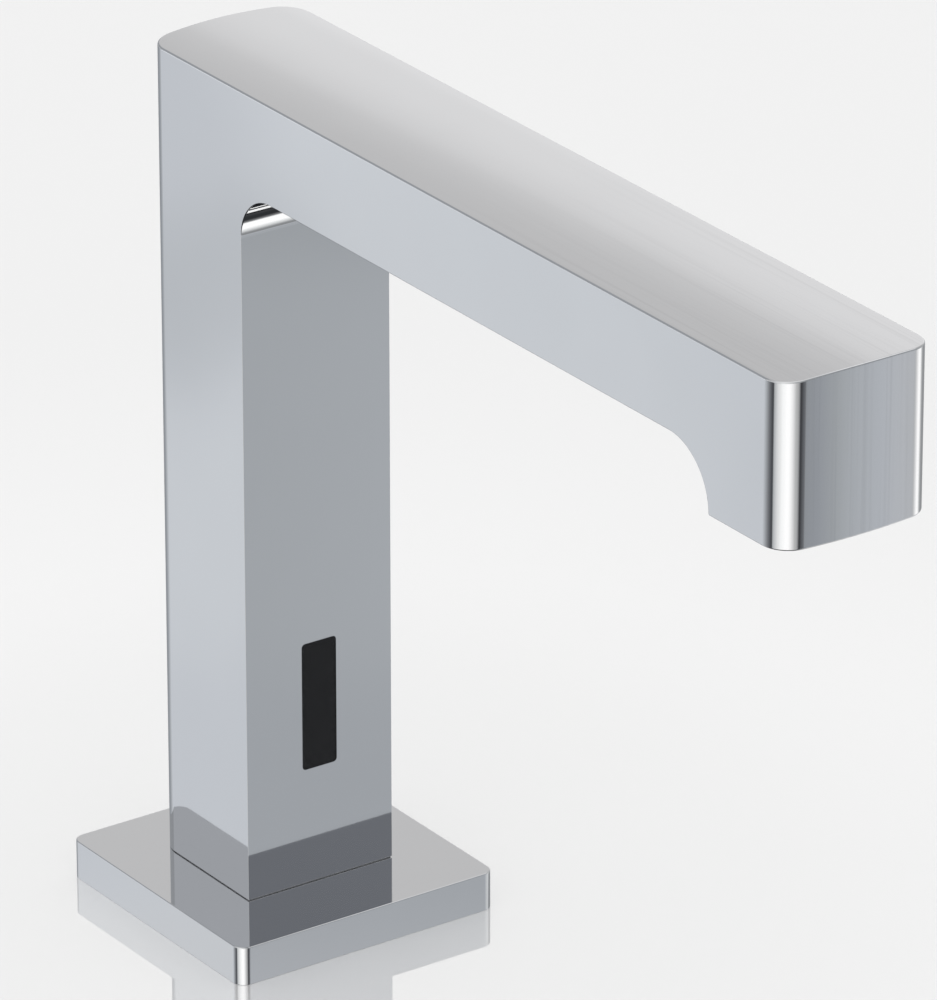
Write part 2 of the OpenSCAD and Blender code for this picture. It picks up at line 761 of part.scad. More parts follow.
module threaded_shank() {
    bore = shank_r - shank_wall;
    top_z = shank_top_z - slip_gap;
    color("#b08d4c") rotate_extrude() polygon([
        [bore, -shank_below], [shank_r - shank_chamfer, -shank_below],
        [shank_r, shank_chamfer - shank_below], [shank_r, top_z], [bore, top_z]
    ]);
}

module rubber_washer() {
    color("#2b2b2c") ring(washer_r, shank_r + seat_gap, rubber_z, -deck_t);
}

module clamp_washer() {
    color("#8f9398") ring(washer_r, shank_r + seat_gap, clamp_z, rubber_z);
}

module shank_nut() {
    flange_z = nut_top_z - nut_flange_t;
    color("#b08d4c") difference() {
        union() {
            rod(nut_flange_r, flange_z, nut_top_z);
            translate([0, 0, nut_top_z - nut_h])
                cylinder(h = nut_h, r = nut_flats / 2 / cos(30), $fn = 6);
        }
        rod(shank_r + thread_fit, nut_top_z - nut_h - over, nut_top_z + over);
    }
}

module sensor_window() {
    pane_y = front_y + window_recess;
    color("#1d1d1f") {
        behind_window(pane_y, flange_y - pane_y)
            rounded(window_w - 2 * pane_gap, window_h - 2 * pane_gap, window_corner_r - pane_gap);
        behind_window(flange_y, flange_t) window_flange();
    }
}

module window_flange() {
    rounded(window_w + 2 * flange_margin, window_h + 2 * flange_margin, flange_margin);
}

module window_gasket() {
    color("#2b2b2c") behind_window(in_front_y, window_gasket_t) difference() {
        window_flange();
        rounded(window_w, window_h, window_corner_r);
    }
}

module sensor_housing() {
    color("#26272a") difference() {
        behind_window(housing_y, housing_d) rounded(housing_w, housing_h, housing_r);
        behind_window(housing_y - over, housing_d - housing_wall + over)
            square([housing_w - 2 * housing_wall, housing_h - 2 * housing_wall], center = true);
        translate([lead_x, -lead_y, 0])
            rod(lead_r + pocket_play, housing_top_z - housing_wall - over, housing_top_z + over);
    }
}

module sensor_board() {
    chip_y = board_y - chip_t;
    small_w = small_chip_size_share * chip_w;
    color("#2f6b45") {
        behind_window(board_y, board_t) square([board_w, board_h], center = true);
        translate([0, 0, chip_share * board_h]) behind_window(chip_y, chip_t)
            square([chip_w, chip_w], center = true);
        for (x = [-1, 1]) translate([x * small_w, 0, -small_chip_share * board_h])
            behind_window(chip_y, chip_t) square([small_w, small_w], center = true);
    }
}

// Infrared part that stands on the board and looks forwards
module infrared_part(z) {
    tip_y = board_y - led_h;
    translate([0, tip_y, z]) rotate([-90, 0, 0]) cylinder(h = led_h, r = led_r);
    translate([0, tip_y, z]) sphere(led_r);
    translate([0, board_y - led_collar_h, z]) rotate([-90, 0, 0])
        cylinder(h = led_collar_h, r = led_r + led_collar);
}

module ir_emitter() {
    color("#3a3550") infrared_part(window_mid_z + led_pitch / 2);
}

module ir_receiver() {
    color("#202028") infrared_part(window_mid_z - led_pitch / 2);
}

module light_barrier() {
    color("#101011") behind_window(housing_y, board_y - housing_y)
        square([board_w, barrier_t], center = true);
}

module sensor_bracket() {
    outer_x = strap_x + strap_t;
    color("#a9adb2") difference() {
        union() {
            translate([-strap_x, housing_back_y, lug_top_z]) cube([2 * strap_x, strap_t, strap_h]);
            for (x = [-1, 1]) {
                translate([x > 0 ? strap_x : -outer_x, housing_y, lug_top_z])
                    cube([strap_t, housing_back_y + strap_t - housing_y, strap_h]);
                translate([x > 0 ? outer_x : -lug_x - tab_reach, -lug_y - tab_reach, lug_top_z])
                    cube([lug_x + tab_reach - outer_x, 2 * tab_reach, strap_t]);
            }
        }
        for (x = [-1, 1]) translate([x * lug_x, -lug_y, 0])
            rod(screw_r + hole_play, lug_top_z - over, lug_top_z + strap_t + over);
    }
}

module bracket_screws() {
    head_z = lug_top_z + strap_t;
    color("#8f9398") for (x = [-1, 1]) translate([x * lug_x, -lug_y, 0]) {
        rod(bracket_head_r, head_z, head_z + bracket_head_h);
        rod(screw_r, head_z - bracket_screw_h, head_z + bracket_head_h / 2);
    }
}

module inlet_filter() {
    color("#9fa3a8") translate([-hose_x, hose_y, 0])
        ring(filter_r, duct_r, hose_top_z, filter_top_z - slip_gap);
}

module cable_grommet() {
    color("#2b2b2c") translate([cable_x, -cable_y, 0])
        ring(cable_r + grommet_wall, cable_r, shank_top_z, shank_top_z + grommet_h);
}

module riser_tube() {
    color("#e8e6df") translate([-riser_x, riser_y, 0])
        ring(tube_r, tube_r - tube_wall, riser_floor_z, valve_z + tube_socket_h);
}

// Groove of a sealing ring on a tube, with its middle at the height z
module ring_groove(z) {
    rod(groove_r, z - groove_h / 2, z + groove_h / 2);
}

// Four holes or screws of the bonnet
module bonnet_holes(r, z0, z1) {
    for (x = [-1, 1], y = [-1, 1])
        translate([x * bonnet_screw_x, valve_y + y * bonnet_screw_y, 0]) rod(r, z0, z1);
}

module valve_body() {
    way_mid_z = valve_z + way_z;
    color("#3b4148") difference() {
        prism(valve_z, valve_top_z)
            rounded(cav_w - 2 * valve_fit, cav_d - 2 * valve_fit, cav_r - valve_fit);
        translate([0, valve_y, 0]) {
            rod(diaphragm_r + pocket_play, seat_top_z, valve_top_z + over);
            ring(chamber_r, seat_r + seat_wall, seat_top_z - chamber_h, seat_top_z + slip_gap);
            rod(seat_r, way_mid_z, seat_top_z + over);
        }
        translate([0, valve_y, way_mid_z]) rotate([-90, 0, 0])
            cylinder(h = outlet_y - valve_y, r = way_r);
        translate([0, outlet_y, 0]) {
            rod(tube_r - tube_wall, way_mid_z, outlet_floor_z + over);
            rod(socket_r, outlet_floor_z, valve_top_z + over);
            ring_groove(valve_top_z - ring_depth);
        }
        translate([-riser_x, riser_y, 0]) {
            rod(socket_r, valve_z - over, valve_z + tube_socket_h);
            ring_groove(valve_z + ring_depth);
            rod(inlet_way_r, valve_z, seat_top_z - chamber_h / 2);
        }
        translate([lead_hole_x, lead_hole_y, 0])
            rod(lead_r + lead_play, valve_z - over, valve_top_z + over);
        bonnet_holes(bonnet_screw_r + thread_fit, valve_top_z - bonnet_thread_h, valve_top_z + over);
    }
}

module valve_diaphragm() {
    hole_r = stem_r + pocket_play;
    bead_r = chamber_r + slip_gap;
    color("#303032") translate([0, valve_y, seat_top_z]) rotate_extrude() {
        translate([hole_r, 0]) square([diaphragm_r - hole_r, web_t]);
        translate([hole_r, 0]) square([pad_plate_r - hole_r, diaphragm_t]);
        translate([bead_r, 0]) square([diaphragm_r - bead_r, diaphragm_t]);
    }
}

module diaphragm_plate() {
    color("#d8d8d4") translate([0, valve_y, 0]) difference() {
        union() {
            rod(pad_plate_r, valve_top_z, pad_top_z);
            rod(stem_r, seat_top_z - pad_plate_t, pad_top_z);
        }
        rod(pilot_r, seat_top_z - pad_plate_t - over, pad_top_z + over);
    }
}

module valve_bonnet() {
    color("#3b4148") difference() {
        translate([0, valve_y]) prism(valve_top_z, bonnet_top_z)
            rounded(bonnet_w, bonnet_d, bonnet_corner_r);
        translate([0, valve_y, 0]) {
            rod(control_r, valve_top_z - over, valve_top_z + control_h);
            rod(bore_r, valve_top_z, bonnet_top_z + over);
        }
        bonnet_holes(bonnet_screw_r + hole_play, valve_top_z - over, bonnet_top_z + over);
    }
}

module bonnet_screws() {
    color("#8f9398") {
        bonnet_holes(bonnet_head_r, bonnet_top_z, bonnet_top_z + bonnet_head_h);
        bonnet_holes(bonnet_screw_r, valve_top_z - bonnet_thread_h + slip_gap,
            bonnet_top_z + bonnet_head_h / 2);
    }
}

module armature_guide() {
    top_z = bonnet_top_z + guide_h;
    color("#b7babf") translate([0, valve_y, 0]) difference() {
        union() {
            rod(guide_r, bonnet_top_z, top_z);
            rod(guide_flange_r, bonnet_top_z, bonnet_top_z + guide_flange_t);
        }
        rod(bore_r, bonnet_top_z - over, core_z);
    }
}

module plunger() {
    color("#8a8d92") translate([0, valve_y, 0]) difference() {
        union() {
            rod(tip_r, plunger_z, plunger_z + tip_h + over);
            rod(plunger_r, plunger_z + tip_h, plunger_top_z);
        }
        rod(spring_r + spring_gap, spring_z, plunger_top_z + over);
    }
}

// Point on the spring's middle line after t turns
function spring_point(t) = [
    (spring_r - spring_wire_r) * cos(360 * t), (spring_r - spring_wire_r) * sin(360 * t),
    spring_wire_r + (core_z - spring_z - 2 * spring_wire_r - slip_gap) * t / spring_turns
];

module plunger_spring() {
    steps = turn_steps * spring_turns;
    color("#c9ccd0") translate([0, valve_y, spring_z])
        sweep([for (i = [0:steps]) spring_point(i / turn_steps)], spring_wire_r, wire_sides);
}

module coil_bobbin() {
    hole_r = guide_r + bobbin_gap;
    top_z = bobbin_z + bobbin_h;
    color("#e9e4d4") translate([0, valve_y, 0]) {
        ring(hole_r + bobbin_wall, hole_r, bobbin_z, top_z);
        ring(bobbin_r, hole_r, bobbin_z, bobbin_z + bobbin_flange_t);
        ring(bobbin_r, hole_r, top_z - bobbin_flange_t, top_z);
    }
}

module coil_winding() {
    color("#b5643a") translate([0, valve_y, 0])
        ring(winding_r, guide_r + bobbin_gap + bobbin_wall + slip_gap,
            bobbin_z + bobbin_flange_t + slip_gap, bobbin_z + bobbin_h - bobbin_flange_t - slip_gap);
}

module coil_yoke() {
    color("#8f9398") translate([0, valve_y, 0]) {
        for (x = [-1, 1]) translate([x > 0 ? yoke_in_x : -yoke_in_x - yoke_t, -yoke_d / 2, bonnet_top_z])
            cube([yoke_t, yoke_d, yoke_top_z + yoke_t - bonnet_top_z]);
        difference() {
            translate([-yoke_in_x - yoke_t, -yoke_top_d / 2, yoke_top_z])
                cube([2 * (yoke_in_x + yoke_t), yoke_top_d, yoke_t]);
            rod(guide_r + bobbin_gap, yoke_top_z - over, yoke_top_z + yoke_t + over);
        }
    }
}

module coil_retainer() {
    z = yoke_top_z + yoke_t;
    color("#6e7278") translate([0, valve_y, 0])
        ring(retainer_r, guide_r + thread_fit, z, z + retainer_t);
}

module outlet_tube() {
    bend_z = tube_z - bend_r;
    bend_y = outlet_y - bend_r;
    end_y = elbow_mouth_y - tube_socket_h + slip_gap;
    color("#e8e6df") {
        translate([0, outlet_y, 0]) ring(tube_r, tube_r - tube_wall, outlet_floor_z, bend_z);
        translate([0, bend_y, bend_z]) rotate([90, 0, 90]) rotate_extrude(angle = 90)
            translate([bend_r, 0]) difference() {
                circle(tube_r);
                circle(tube_r - tube_wall);
            }
        translate([0, bend_y, tube_z]) rotate([90, 0, 0])
            ring(tube_r, tube_r - tube_wall, 0, bend_y - end_y);
    }
}

// Sealing ring round the Z axis at the height z
module o_ring(mid_r, r, z) {
    translate([0, 0, z]) rotate_extrude() translate([mid_r, 0]) circle(r, $fn = 32);
}

module tube_o_rings() {
    color("#1f1f20") {
        translate([-riser_x, riser_y, 0]) o_ring(ring_mid_r, ring_r, boss_top_z - ring_depth);
        translate([-riser_x, riser_y, 0]) o_ring(ring_mid_r, ring_r, valve_z + ring_depth);
        translate([0, outlet_y, 0]) o_ring(ring_mid_r, ring_r, valve_top_z - ring_depth);
        translate([0, elbow_mouth_y, tube_z]) rotate([90, 0, 0]) o_ring(ring_mid_r, ring_r, ring_depth);
    }
}

module outlet_elbow() {
    chamber_r = spigot_r - spigot_wall;
    color("#d8d8d4") difference() {
        union() {
            translate([0, aerator_y, 0]) {
                rod(elbow_r, arm_floor_z, elbow_top_z);
                rod(spigot_r, spigot_z, arm_floor_z + over);
            }
            translate([0, elbow_mouth_y, tube_z]) rotate([90, 0, 0])
                cylinder(h = elbow_l, r = tube_r + elbow_wall);
        }
        translate([0, aerator_y, 0]) {
            rod(chamber_r, spigot_z - over, tube_z + tube_r);
            ring(spigot_r + over, spigot_r - 2 * spigot_ring_r,
                elbow_ring_z - groove_h / 2, elbow_ring_z + groove_h / 2);
        }
        translate([0, elbow_mouth_y, tube_z]) rotate([90, 0, 0]) {
            rod(tube_r - tube_wall, 0, elbow_l);
            rod(socket_r, -over, tube_socket_h);
            ring_groove(ring_depth);
        }
    }
}

module elbow_o_ring() {
    color("#1f1f20") translate([0, aerator_y, 0])
        o_ring(spigot_r - spigot_ring_r + tube_fit / 2, spigot_ring_r, elbow_ring_z);
}

module aerator_seal() {
    color("#1f1f20") translate([0, aerator_y, 0])
        ring(aerator_r - pocket_play, spigot_r + 2 * pocket_play,
            aerator_seat_z - aerator_seal_t - slip_gap, aerator_seat_z - slip_gap);
}

module aerator_housing() {
    inner_r = aerator_r - aerator_wall;
    color("#c3c6cb") translate([0, aerator_y, 0]) difference() {
        rod(aerator_r, aerator_z, aerator_top_z);
        rod(inner_r, insert_z, aerator_top_z + over);
        rod(inner_r - lip_w, aerator_z - over, insert_z + over);
        for (i = [1:notch_count]) rotate(i * 360 / notch_count)
            translate([inner_r - lip_w + aerator_wall / 2, -notch_w / 2, aerator_z - over])
                cube([aerator_wall + over, notch_w, notch_h + over]);
    }
}

module aerator_insert() {
    color("#e4e4e0") translate([0, aerator_y, 0]) difference() {
        rod(insert_r, insert_z, insert_z + insert_h);
        rod(jet_r, insert_z - over, insert_z + insert_h + over);
        for (ring_no = [1, 2], i = [1:jet_count * ring_no])
            rotate(i * 360 / jet_count / ring_no) translate([ring_no * jet_pitch, 0, 0])
                rod(jet_r, insert_z - over, insert_z + insert_h + over);
    }
}

module aerator_screen() {
    z = insert_z + insert_h;
    dome_r = (pow(insert_r, 2) + pow(screen_rise, 2)) / (2 * screen_rise);
    color("#a9adb2") translate([0, aerator_y, z]) intersection() {
        rod(insert_r, 0, screen_rise + screen_t);
        difference() {
            translate([0, 0, screen_rise + screen_t - dome_r]) sphere(dome_r);
            translate([0, 0, screen_rise - dome_r]) sphere(dome_r);
        }
    }
}

// Points of the curve from a to b that leaves along u and arrives along v
function curve(a, u, b, v, n) = [for (i = [0:n]) let (t = i / n)
    pow(1 - t, 3) * a + 3 * t * pow(1 - t, 2) * (a + u) + 3 * t * t * (1 - t) * (b - v) + pow(t, 3) * b];

// Directions along a list of points and across it
function unit(v) = v / norm(v);
function heading(p, i) = unit(p[min(i + 1, len(p) - 1)] - p[max(i - 1, 0)]);
function across(d) = unit(cross(d, abs(d[2]) > steep_share ? [1, 0, 0] : [0, 0, 1]));
function carried(a, d) = unit(a - (a * d) * d);
function frames(p, i = 0, a = undef) =
    let (d = heading(p, i), x = a == undef ? across(d) : carried(a, d))
    i == len(p) - 1 ? [[x, cross(d, x)]] : concat([[x, cross(d, x)]], frames(p, i + 1, x));

// Tube of radius r with the given number of sides, swept along a list of points
module sweep(p, r, sides) {
    f = frames(p);
    points = [for (i = [0:len(p) - 1], k = [0:sides - 1])
        p[i] + r * (cos(360 * k / sides) * f[i][0] + sin(360 * k / sides) * f[i][1])];
    last = len(p) - 1;
    walls = [for (i = [0:last - 1], k = [0:sides - 1])
        let (n = (k + 1) % sides)
        each [[i * sides + k, i * sides + n, (i + 1) * sides + n],
              [i * sides + k, (i + 1) * sides + n, (i + 1) * sides + k]]];
    start = [for (k = [1:sides - 2]) [0, k + 1, k]];
    end = [for (k = [1:sides - 2]) [last * sides, last * sides + k, last * sides + k + 1]];
    polyhedron(points, concat(start, walls, end));
}

module coil_lead() {
    color("#3a3a3c") sweep(lead_route, lead_r, lead_sides);
}

body_shell();
base_plate();
deck_gasket();
column_gasket();
foot_block();
foot_screws();
threaded_shank();
rubber_washer();
clamp_washer();
shank_nut();
sensor_window();
window_gasket();
sensor_housing();
sensor_board();
ir_emitter();
ir_receiver();
light_barrier();
sensor_bracket();
bracket_screws();
inlet_filter();
cable_grommet();
riser_tube();
valve_body();
valve_diaphragm();
diaphragm_plate();
valve_bonnet();
bonnet_screws();
armature_guide();
plunger();
plunger_spring();
coil_bobbin();
coil_winding();
coil_yoke();
coil_retainer();
coil_lead();
outlet_tube();
tube_o_rings();
outlet_elbow();
elbow_o_ring();
aerator_seal();
aerator_housing();
aerator_insert();
aerator_screen();
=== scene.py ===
import math

import bmesh
import bpy
from mathutils import Matrix, Vector


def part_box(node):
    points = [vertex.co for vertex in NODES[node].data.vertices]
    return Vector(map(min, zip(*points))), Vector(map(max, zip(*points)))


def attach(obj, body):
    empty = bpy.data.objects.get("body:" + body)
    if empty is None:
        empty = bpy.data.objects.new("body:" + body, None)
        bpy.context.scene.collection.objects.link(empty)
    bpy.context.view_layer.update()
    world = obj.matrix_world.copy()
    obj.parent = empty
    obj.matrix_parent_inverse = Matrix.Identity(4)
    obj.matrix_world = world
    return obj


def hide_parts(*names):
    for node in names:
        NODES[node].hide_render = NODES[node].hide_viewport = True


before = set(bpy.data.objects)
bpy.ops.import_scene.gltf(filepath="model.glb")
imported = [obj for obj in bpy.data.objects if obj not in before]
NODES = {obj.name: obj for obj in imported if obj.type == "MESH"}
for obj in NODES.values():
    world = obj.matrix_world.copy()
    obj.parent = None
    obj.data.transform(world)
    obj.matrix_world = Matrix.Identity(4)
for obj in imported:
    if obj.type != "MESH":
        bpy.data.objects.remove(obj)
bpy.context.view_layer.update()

MM = 0.001


# Camera

VIEW_AZIMUTH, VIEW_ELEVATION = math.radians(-35.0211), math.radians(24.3205)
VIEW_DISTANCE = 1.7518
VIEW_TARGET = Vector((0.00354, -0.068, 0.10392))
LENS_MM, SENSOR_MM = 334.8, 36
SHIFT_X, SHIFT_Y = -0.0186, 0.0195
CLIP_START, CLIP_END = 0.05, 50


def make_camera():
    """The photograph's view: a long lens, to the left of the front and from above."""
    back = Vector((
        math.sin(VIEW_AZIMUTH) * math.cos(VIEW_ELEVATION),
        -math.cos(VIEW_AZIMUTH) * math.cos(VIEW_ELEVATION),
        math.sin(VIEW_ELEVATION),
    ))
    data = bpy.data.cameras.new("camera")
    data.lens = LENS_MM
    data.sensor_width = SENSOR_MM
    data.shift_x = SHIFT_X
    data.shift_y = SHIFT_Y
    data.clip_start, data.clip_end = CLIP_START, CLIP_END
    camera = bpy.data.objects.new("camera", data)
    bpy.context.scene.collection.objects.link(camera)
    camera.location = VIEW_TARGET + back * VIEW_DISTANCE
    camera.rotation_mode = "QUATERNION"
    camera.rotation_quaternion = (-back).to_track_quat("-Z", "Y")
    bpy.context.scene.camera = camera


# Colours and node trees

def lin(code, gain=1.0):
    """Linear colour of a six-digit code, with alpha."""
    out = []
    for i in (0, 2, 4):
        c = int(code[i:i + 2], 16) / 255
        out.append(gain * (c / 12.92 if c <= 0.04045 else ((c + 0.055) / 1.055) ** 2.4))
    return (*out, 1.0)


class Net:
    """Short way to add nodes to a tree."""

    def __init__(self, tree):
        self.tree = tree
        tree.nodes.clear()

    def add(self, kind, values=None, **settings):
        n = self.tree.nodes.new("ShaderNode" + kind)
        for key, value in settings.items():
            setattr(n, key, value)
        for key, value in (values or {}).items():
            self.put(n.inputs[key], value)
        return n

    def put(self, socket, value):
        if isinstance(value, bpy.types.NodeSocket):
            self.tree.links.new(value, socket)
        else:
            socket.default_value = value

    def math(self, how, a, b=0.0):
        return self.add("Math", {0: a, 1: b}, operation=how).outputs[0]

    def both(self, a, b):
        return self.math("MULTIPLY", a, b)

    def span(self, value, low, high, to_low=0.0, to_high=1.0, smooth=False):
        """A value's way from low to high, laid on the way from to_low to to_high."""
        n = self.add("MapRange", {0: value, 1: low, 2: high, 3: to_low, 4: to_high})
        n.interpolation_type = "SMOOTHSTEP" if smooth else "LINEAR"
        return n.outputs[0]

    def mix(self, share, a, b):
        n = self.add("Mix", data_type="RGBA")
        self.put(n.inputs[0], share)
        self.put(n.inputs[6], a)
        self.put(n.inputs[7], b)
        return n.outputs[2]

    def ramp(self, value, stops):
        """A colour ramp; stops are (place, colour)."""
        n = self.add("ValToRGB", {0: value})
        stops = sorted(stops)
        elements = n.color_ramp.elements
        elements[0].position, elements[0].color = stops[0]
        elements[1].position, elements[1].color = stops[-1]
        for place, colour in stops[1:-1]:
            e = elements.new(place)
            e.color = colour
        return n.outputs[0]


# World: the pale background, and the studio that the chrome shows

BACKGROUND = lin("efefef")
# How much light the chrome gives back, so that the studio's shades can be written as they show
GLOSS = 1 / 0.86

# What rays show that come off upright faces, by direction in degrees
LOW_BAND = [
    (-180, "8d9196"), (-172, "95999e"), (-161, "afb3b8"), (-152, "c2c6cb"), (-147, "c5c9ce"),
    (-141, "c5c9ce"), (-137, "bbbfc4"), (-131, "adb1b6"), (-121, "919498"), (-111.6, "707276"),
    (-102.8, "54565a"), (-97, "434548"), (-95.5, "505256"), (-91.5, "adb0b2"), (-86, "c1c3c5"),
    (-71, "e4e5e5"), (-60, "f4f5f5"), (-45, "ffffff"), (-36, "ffffff"), (-27.5, "efefef"),
    (-20, "d7d7d8"), (-13, "b8b9b9"), (-5.8, "a9aaab"), (-1.5, "8c8d8f"), (3, "454649"),
    (6, "3b3c3f"), (13, "55575b"), (21, "6a6c70"), (24.2, "7e8185"), (25.5, "8c9095"),
    (28, "90949a"), (32, "9b9fa3"), (35, "a4a8ad"), (42, "acb0b6"), (47, "b0b3b8"),
    (52, "adafb2"), (57.4, "bcbdbf"), (62.7, "d3d4d5"), (68, "e7e7e8"), (73, "fdfdfd"),
    (83, "fefefe"), (91, "c8c9ca"), (98, "9a9c9e"), (106, "8e9092"), (138, "8c8e90"),
    (150, "84888c"), (180, "8d9196"),
]
# What rays show that go up past the object, by direction
HIGH_BAND = [
    (-180, "a9acae"), (-150, "95989d"), (-140, "979a9f"), (-100, "c4c6c8"), (-60, "e2e3e4"),
    (-20, "a9abad"), (10, "94979a"), (35, "8f9296"), (60, "94979a"), (95, "a4a6a8"),
    (125, "b2b2b3"), (150, "b8b8b9"), (180, "a9acae"),
]
# The flat light behind the object, by height in degrees
BEHIND = [
    (0, "e8e8e9"), (14, "e2e2e3"), (15.6, "dcdcdd"), (17.5, "d5d5d6"), (19.5, "d4d4d5"),
    (21, "d1d1d2"), (22.5, "cccccd"), (23.9, "c2c2c3"), (25, "bebebf"), (26.2, "bababb"),
    (28, "b8b8b9"), (40, "b6b6b7"),
]
# What rays show that go steeply down, in front of the column and elsewhere, by height
FRONT_DOWN = [
    (-90, "2e3032"), (-55.5, "2e3032"), (-54, "565658"), (-52, "818384"), (-50, "ffffff"),
    (-41, "ffffff"), (-38.6, "e6e8e8"), (-35.5, "c8cacb"), (-32, "8b8d8f"), (-29, "828486"),
    (-27, "9b9ea2"),
]
SIDE_DOWN = [
    (-90, "3a3b3d"), (-58, "3a3b3d"), (-50, "77797d"), (-42, "aeb1b6"), (-27, "c0c3c8"),
]
# What rays show that come from high above, and where the zones meet, in degrees of height
ABOVE = "d4d5d6"
ABOVE_FROM, ABOVE_TO = 45, 75
UP_FROM, UP_TO = -8, 4
DOWN_FROM, DOWN_TO = -27.8, -28.8
# Turns between which the front's own colours show below, and their softness
FRONT_LOW, FRONT_HIGH, FRONT_SOFT = 12, 80, 5
# How far back a ray goes to show the light behind the object
BEHIND_FROM, BEHIND_TO = 0.3, 0.6
# The low band turns greyer towards the horizon: heights, and the grey's largest share
GREY, GREY_FROM, GREY_TO, GREY_SHARE = "95999d", -20.5, -13, 0.5
# The inside corner's double reflection: dark, with a white line between these directions
FOLD_DARK, FOLD_WHITE = "26282a", "ffffff"
FOLD_LINE = ((64, 79, 1), (-63, -48, 2))
# A rising ray that has passed more sheets than this comes off the floor's polish: two films
# on the way down and two on the way up
FLOOR_PASSES = 3.5
# Soft-edged cards: turn from, to, softness; height from, to, softness; colour
CARDS = [
    ((-150, -130, 2), (-20, -5, 3), "e2e6ec"),
    ((-190, -128, 3), (1, 50, 3), "919498"),
    ((156, 190, 2), (1, 50, 3), "919498"),
    ((-152, -138, 2), (24.6, 30, 0.6), "a3a6ab"),
    ((22, 48, 3), (24.6, 30, 0.6), "6c6f75"),
    ((50, 130, 10), (42, 62, 4), "dcdddf"),
    ((-120, 8, 10), (-95, -31, 2), "2e3032"),
    ((101, 117, 1), (-63, -50, 2), "ffffff"),
    ((-160, -146.4, 0.5), (-23.4, -15, 0.5), "bdc1c7"),
    ((-160, -146.4, 0.5), (-23.3, -22.3, 0.35), "b4b8bd"),
    ((-143.2, -138, 0.5), (-30, -15, 1), "bfc3c9"),
    ((-155, -138, 2), (-26.6, -25.1, 0.4), "bfc3c9"),
    ((30, 40, 2), (-22.6, -15, 0.4), "969a9e"),
    ((30, 40, 2), (-26.7, -25.3, 0.4), "9ca0a5"),
    ((20, 50, 5), (-28.5, -26.95, 0.15), "a9acb1"),
    ((-156, -144.9, 0.4), (-29, -26.7, 0.2), "c3c6ca"),
    ((52, 78, 3), (-32, -26.2, 0.5), "bdc0c3"),
    ((78, 150, 3), (-32, -26.2, 0.5), "85888b"),
]
# Most stops that one colour ramp takes
RAMP_STOPS = 32


def band(net, value, low, high, stops):
    """Colours along a value that runs from low to high."""
    if len(stops) > RAMP_STOPS:
        k = len(stops) // 2
        split = stops[k][0]
        left = band(net, value, low, split, stops[:k + 1])
        right = band(net, value, split, high, stops[k:])
        return net.mix(net.math("GREATER_THAN", value, split), left, right)
    return net.ramp(net.span(value, low, high),
                    [((a - low) / (high - low), lin(c, GLOSS)) for a, c in stops])


def inside(net, value, low, high, soft):
    """1 between low and high, with soft flanks."""
    up = net.span(value, low - soft, low + soft, smooth=True)
    down = net.span(value, high + soft, high - soft, smooth=True)
    return net.both(up, down)


def make_world():
    """The studio, by the way a ray leaves: its turn round the upright, nought to the front,
    and its rise over the horizon, both in degrees."""
    world = bpy.data.worlds.new("studio")
    bpy.context.scene.world = world
    world.use_nodes = True
    net = Net(world.node_tree)
    way = net.add("TexCoord").outputs["Generated"]
    x, y, z = net.add("SeparateXYZ", {0: way}).outputs
    degree = math.degrees(1)
    turn = net.both(net.math("ARCTAN2", x, net.both(y, -1.0)), degree)
    rise = net.both(net.math("ARCSINE", z), degree)
    # A ray off the floor's polish shows the background after one glossy bounce, and the
    # studio upside down after more
    path = net.add("LightPath").outputs
    passed = net.math("GREATER_THAN", path["Transparent Depth"], FLOOR_PASSES)
    mirrored = net.both(passed, net.math("GREATER_THAN", rise, 0.0))
    again = net.math("GREATER_THAN", path["Glossy Depth"], 1.5)
    turned = net.both(mirrored, again)
    bare = net.both(mirrored, net.math("SUBTRACT", path["Is Glossy Ray"], again))
    rise = net.both(rise, net.span(turned, 0, 1, 1, -1))
    low = band(net, turn, -180, 180, LOW_BAND)
    low = net.mix(net.span(rise, GREY_FROM, GREY_TO, 0, GREY_SHARE), low, lin(GREY))
    high = band(net, turn, -180, 180, HIGH_BAND)
    behind = band(net, rise, 0, 40, BEHIND)
    high = net.mix(net.span(y, BEHIND_FROM, BEHIND_TO), high, behind)
    above = net.span(rise, ABOVE_FROM, ABOVE_TO, smooth=True)
    high = net.mix(above, high, lin(ABOVE, GLOSS))
    studio = net.mix(net.span(rise, UP_FROM, UP_TO, smooth=True), low, high)
    front_down = band(net, rise, -90, -27, FRONT_DOWN)
    side_down = band(net, rise, -90, -27, SIDE_DOWN)
    front = inside(net, turn, FRONT_LOW, FRONT_HIGH, FRONT_SOFT)
    down = net.mix(front, side_down, front_down)
    studio = net.mix(net.span(rise, DOWN_FROM, DOWN_TO, smooth=True), studio, down)
    for turn_range, rise_range, code in CARDS:
        share = net.both(inside(net, turn, *turn_range), inside(net, rise, *rise_range))
        studio = net.mix(share, studio, lin(code, GLOSS))
    line = net.both(inside(net, turn, *FOLD_LINE[0]), inside(net, rise, *FOLD_LINE[1]))
    line = net.both(line, net.math("LESS_THAN", path["Glossy Depth"], 2.5))
    folded = net.mix(line, lin(FOLD_DARK), lin(FOLD_WHITE, GLOSS))
    twice = net.both(net.math("SUBTRACT", again, turned), net.span(rise, 0, -4))
    studio = net.mix(twice, studio, folded)
    seen = net.math("MAXIMUM", path["Is Glossy Ray"], path["Is Transmission Ray"])
    # Light that reaches a matt surface by way of the chrome is plain white
    first = net.math("LESS_THAN", path["Diffuse Depth"], 0.5)
    colour = net.mix(net.both(seen, first), lin("ffffff"), studio)
    colour = net.mix(bare, colour, BACKGROUND)
    colour = net.mix(path["Is Camera Ray"], colour, BACKGROUND)
    light = net.add("Background", {"Color": colour, "Strength": 1.0})
    net.add("OutputWorld", {"Surface": light.outputs[0]})


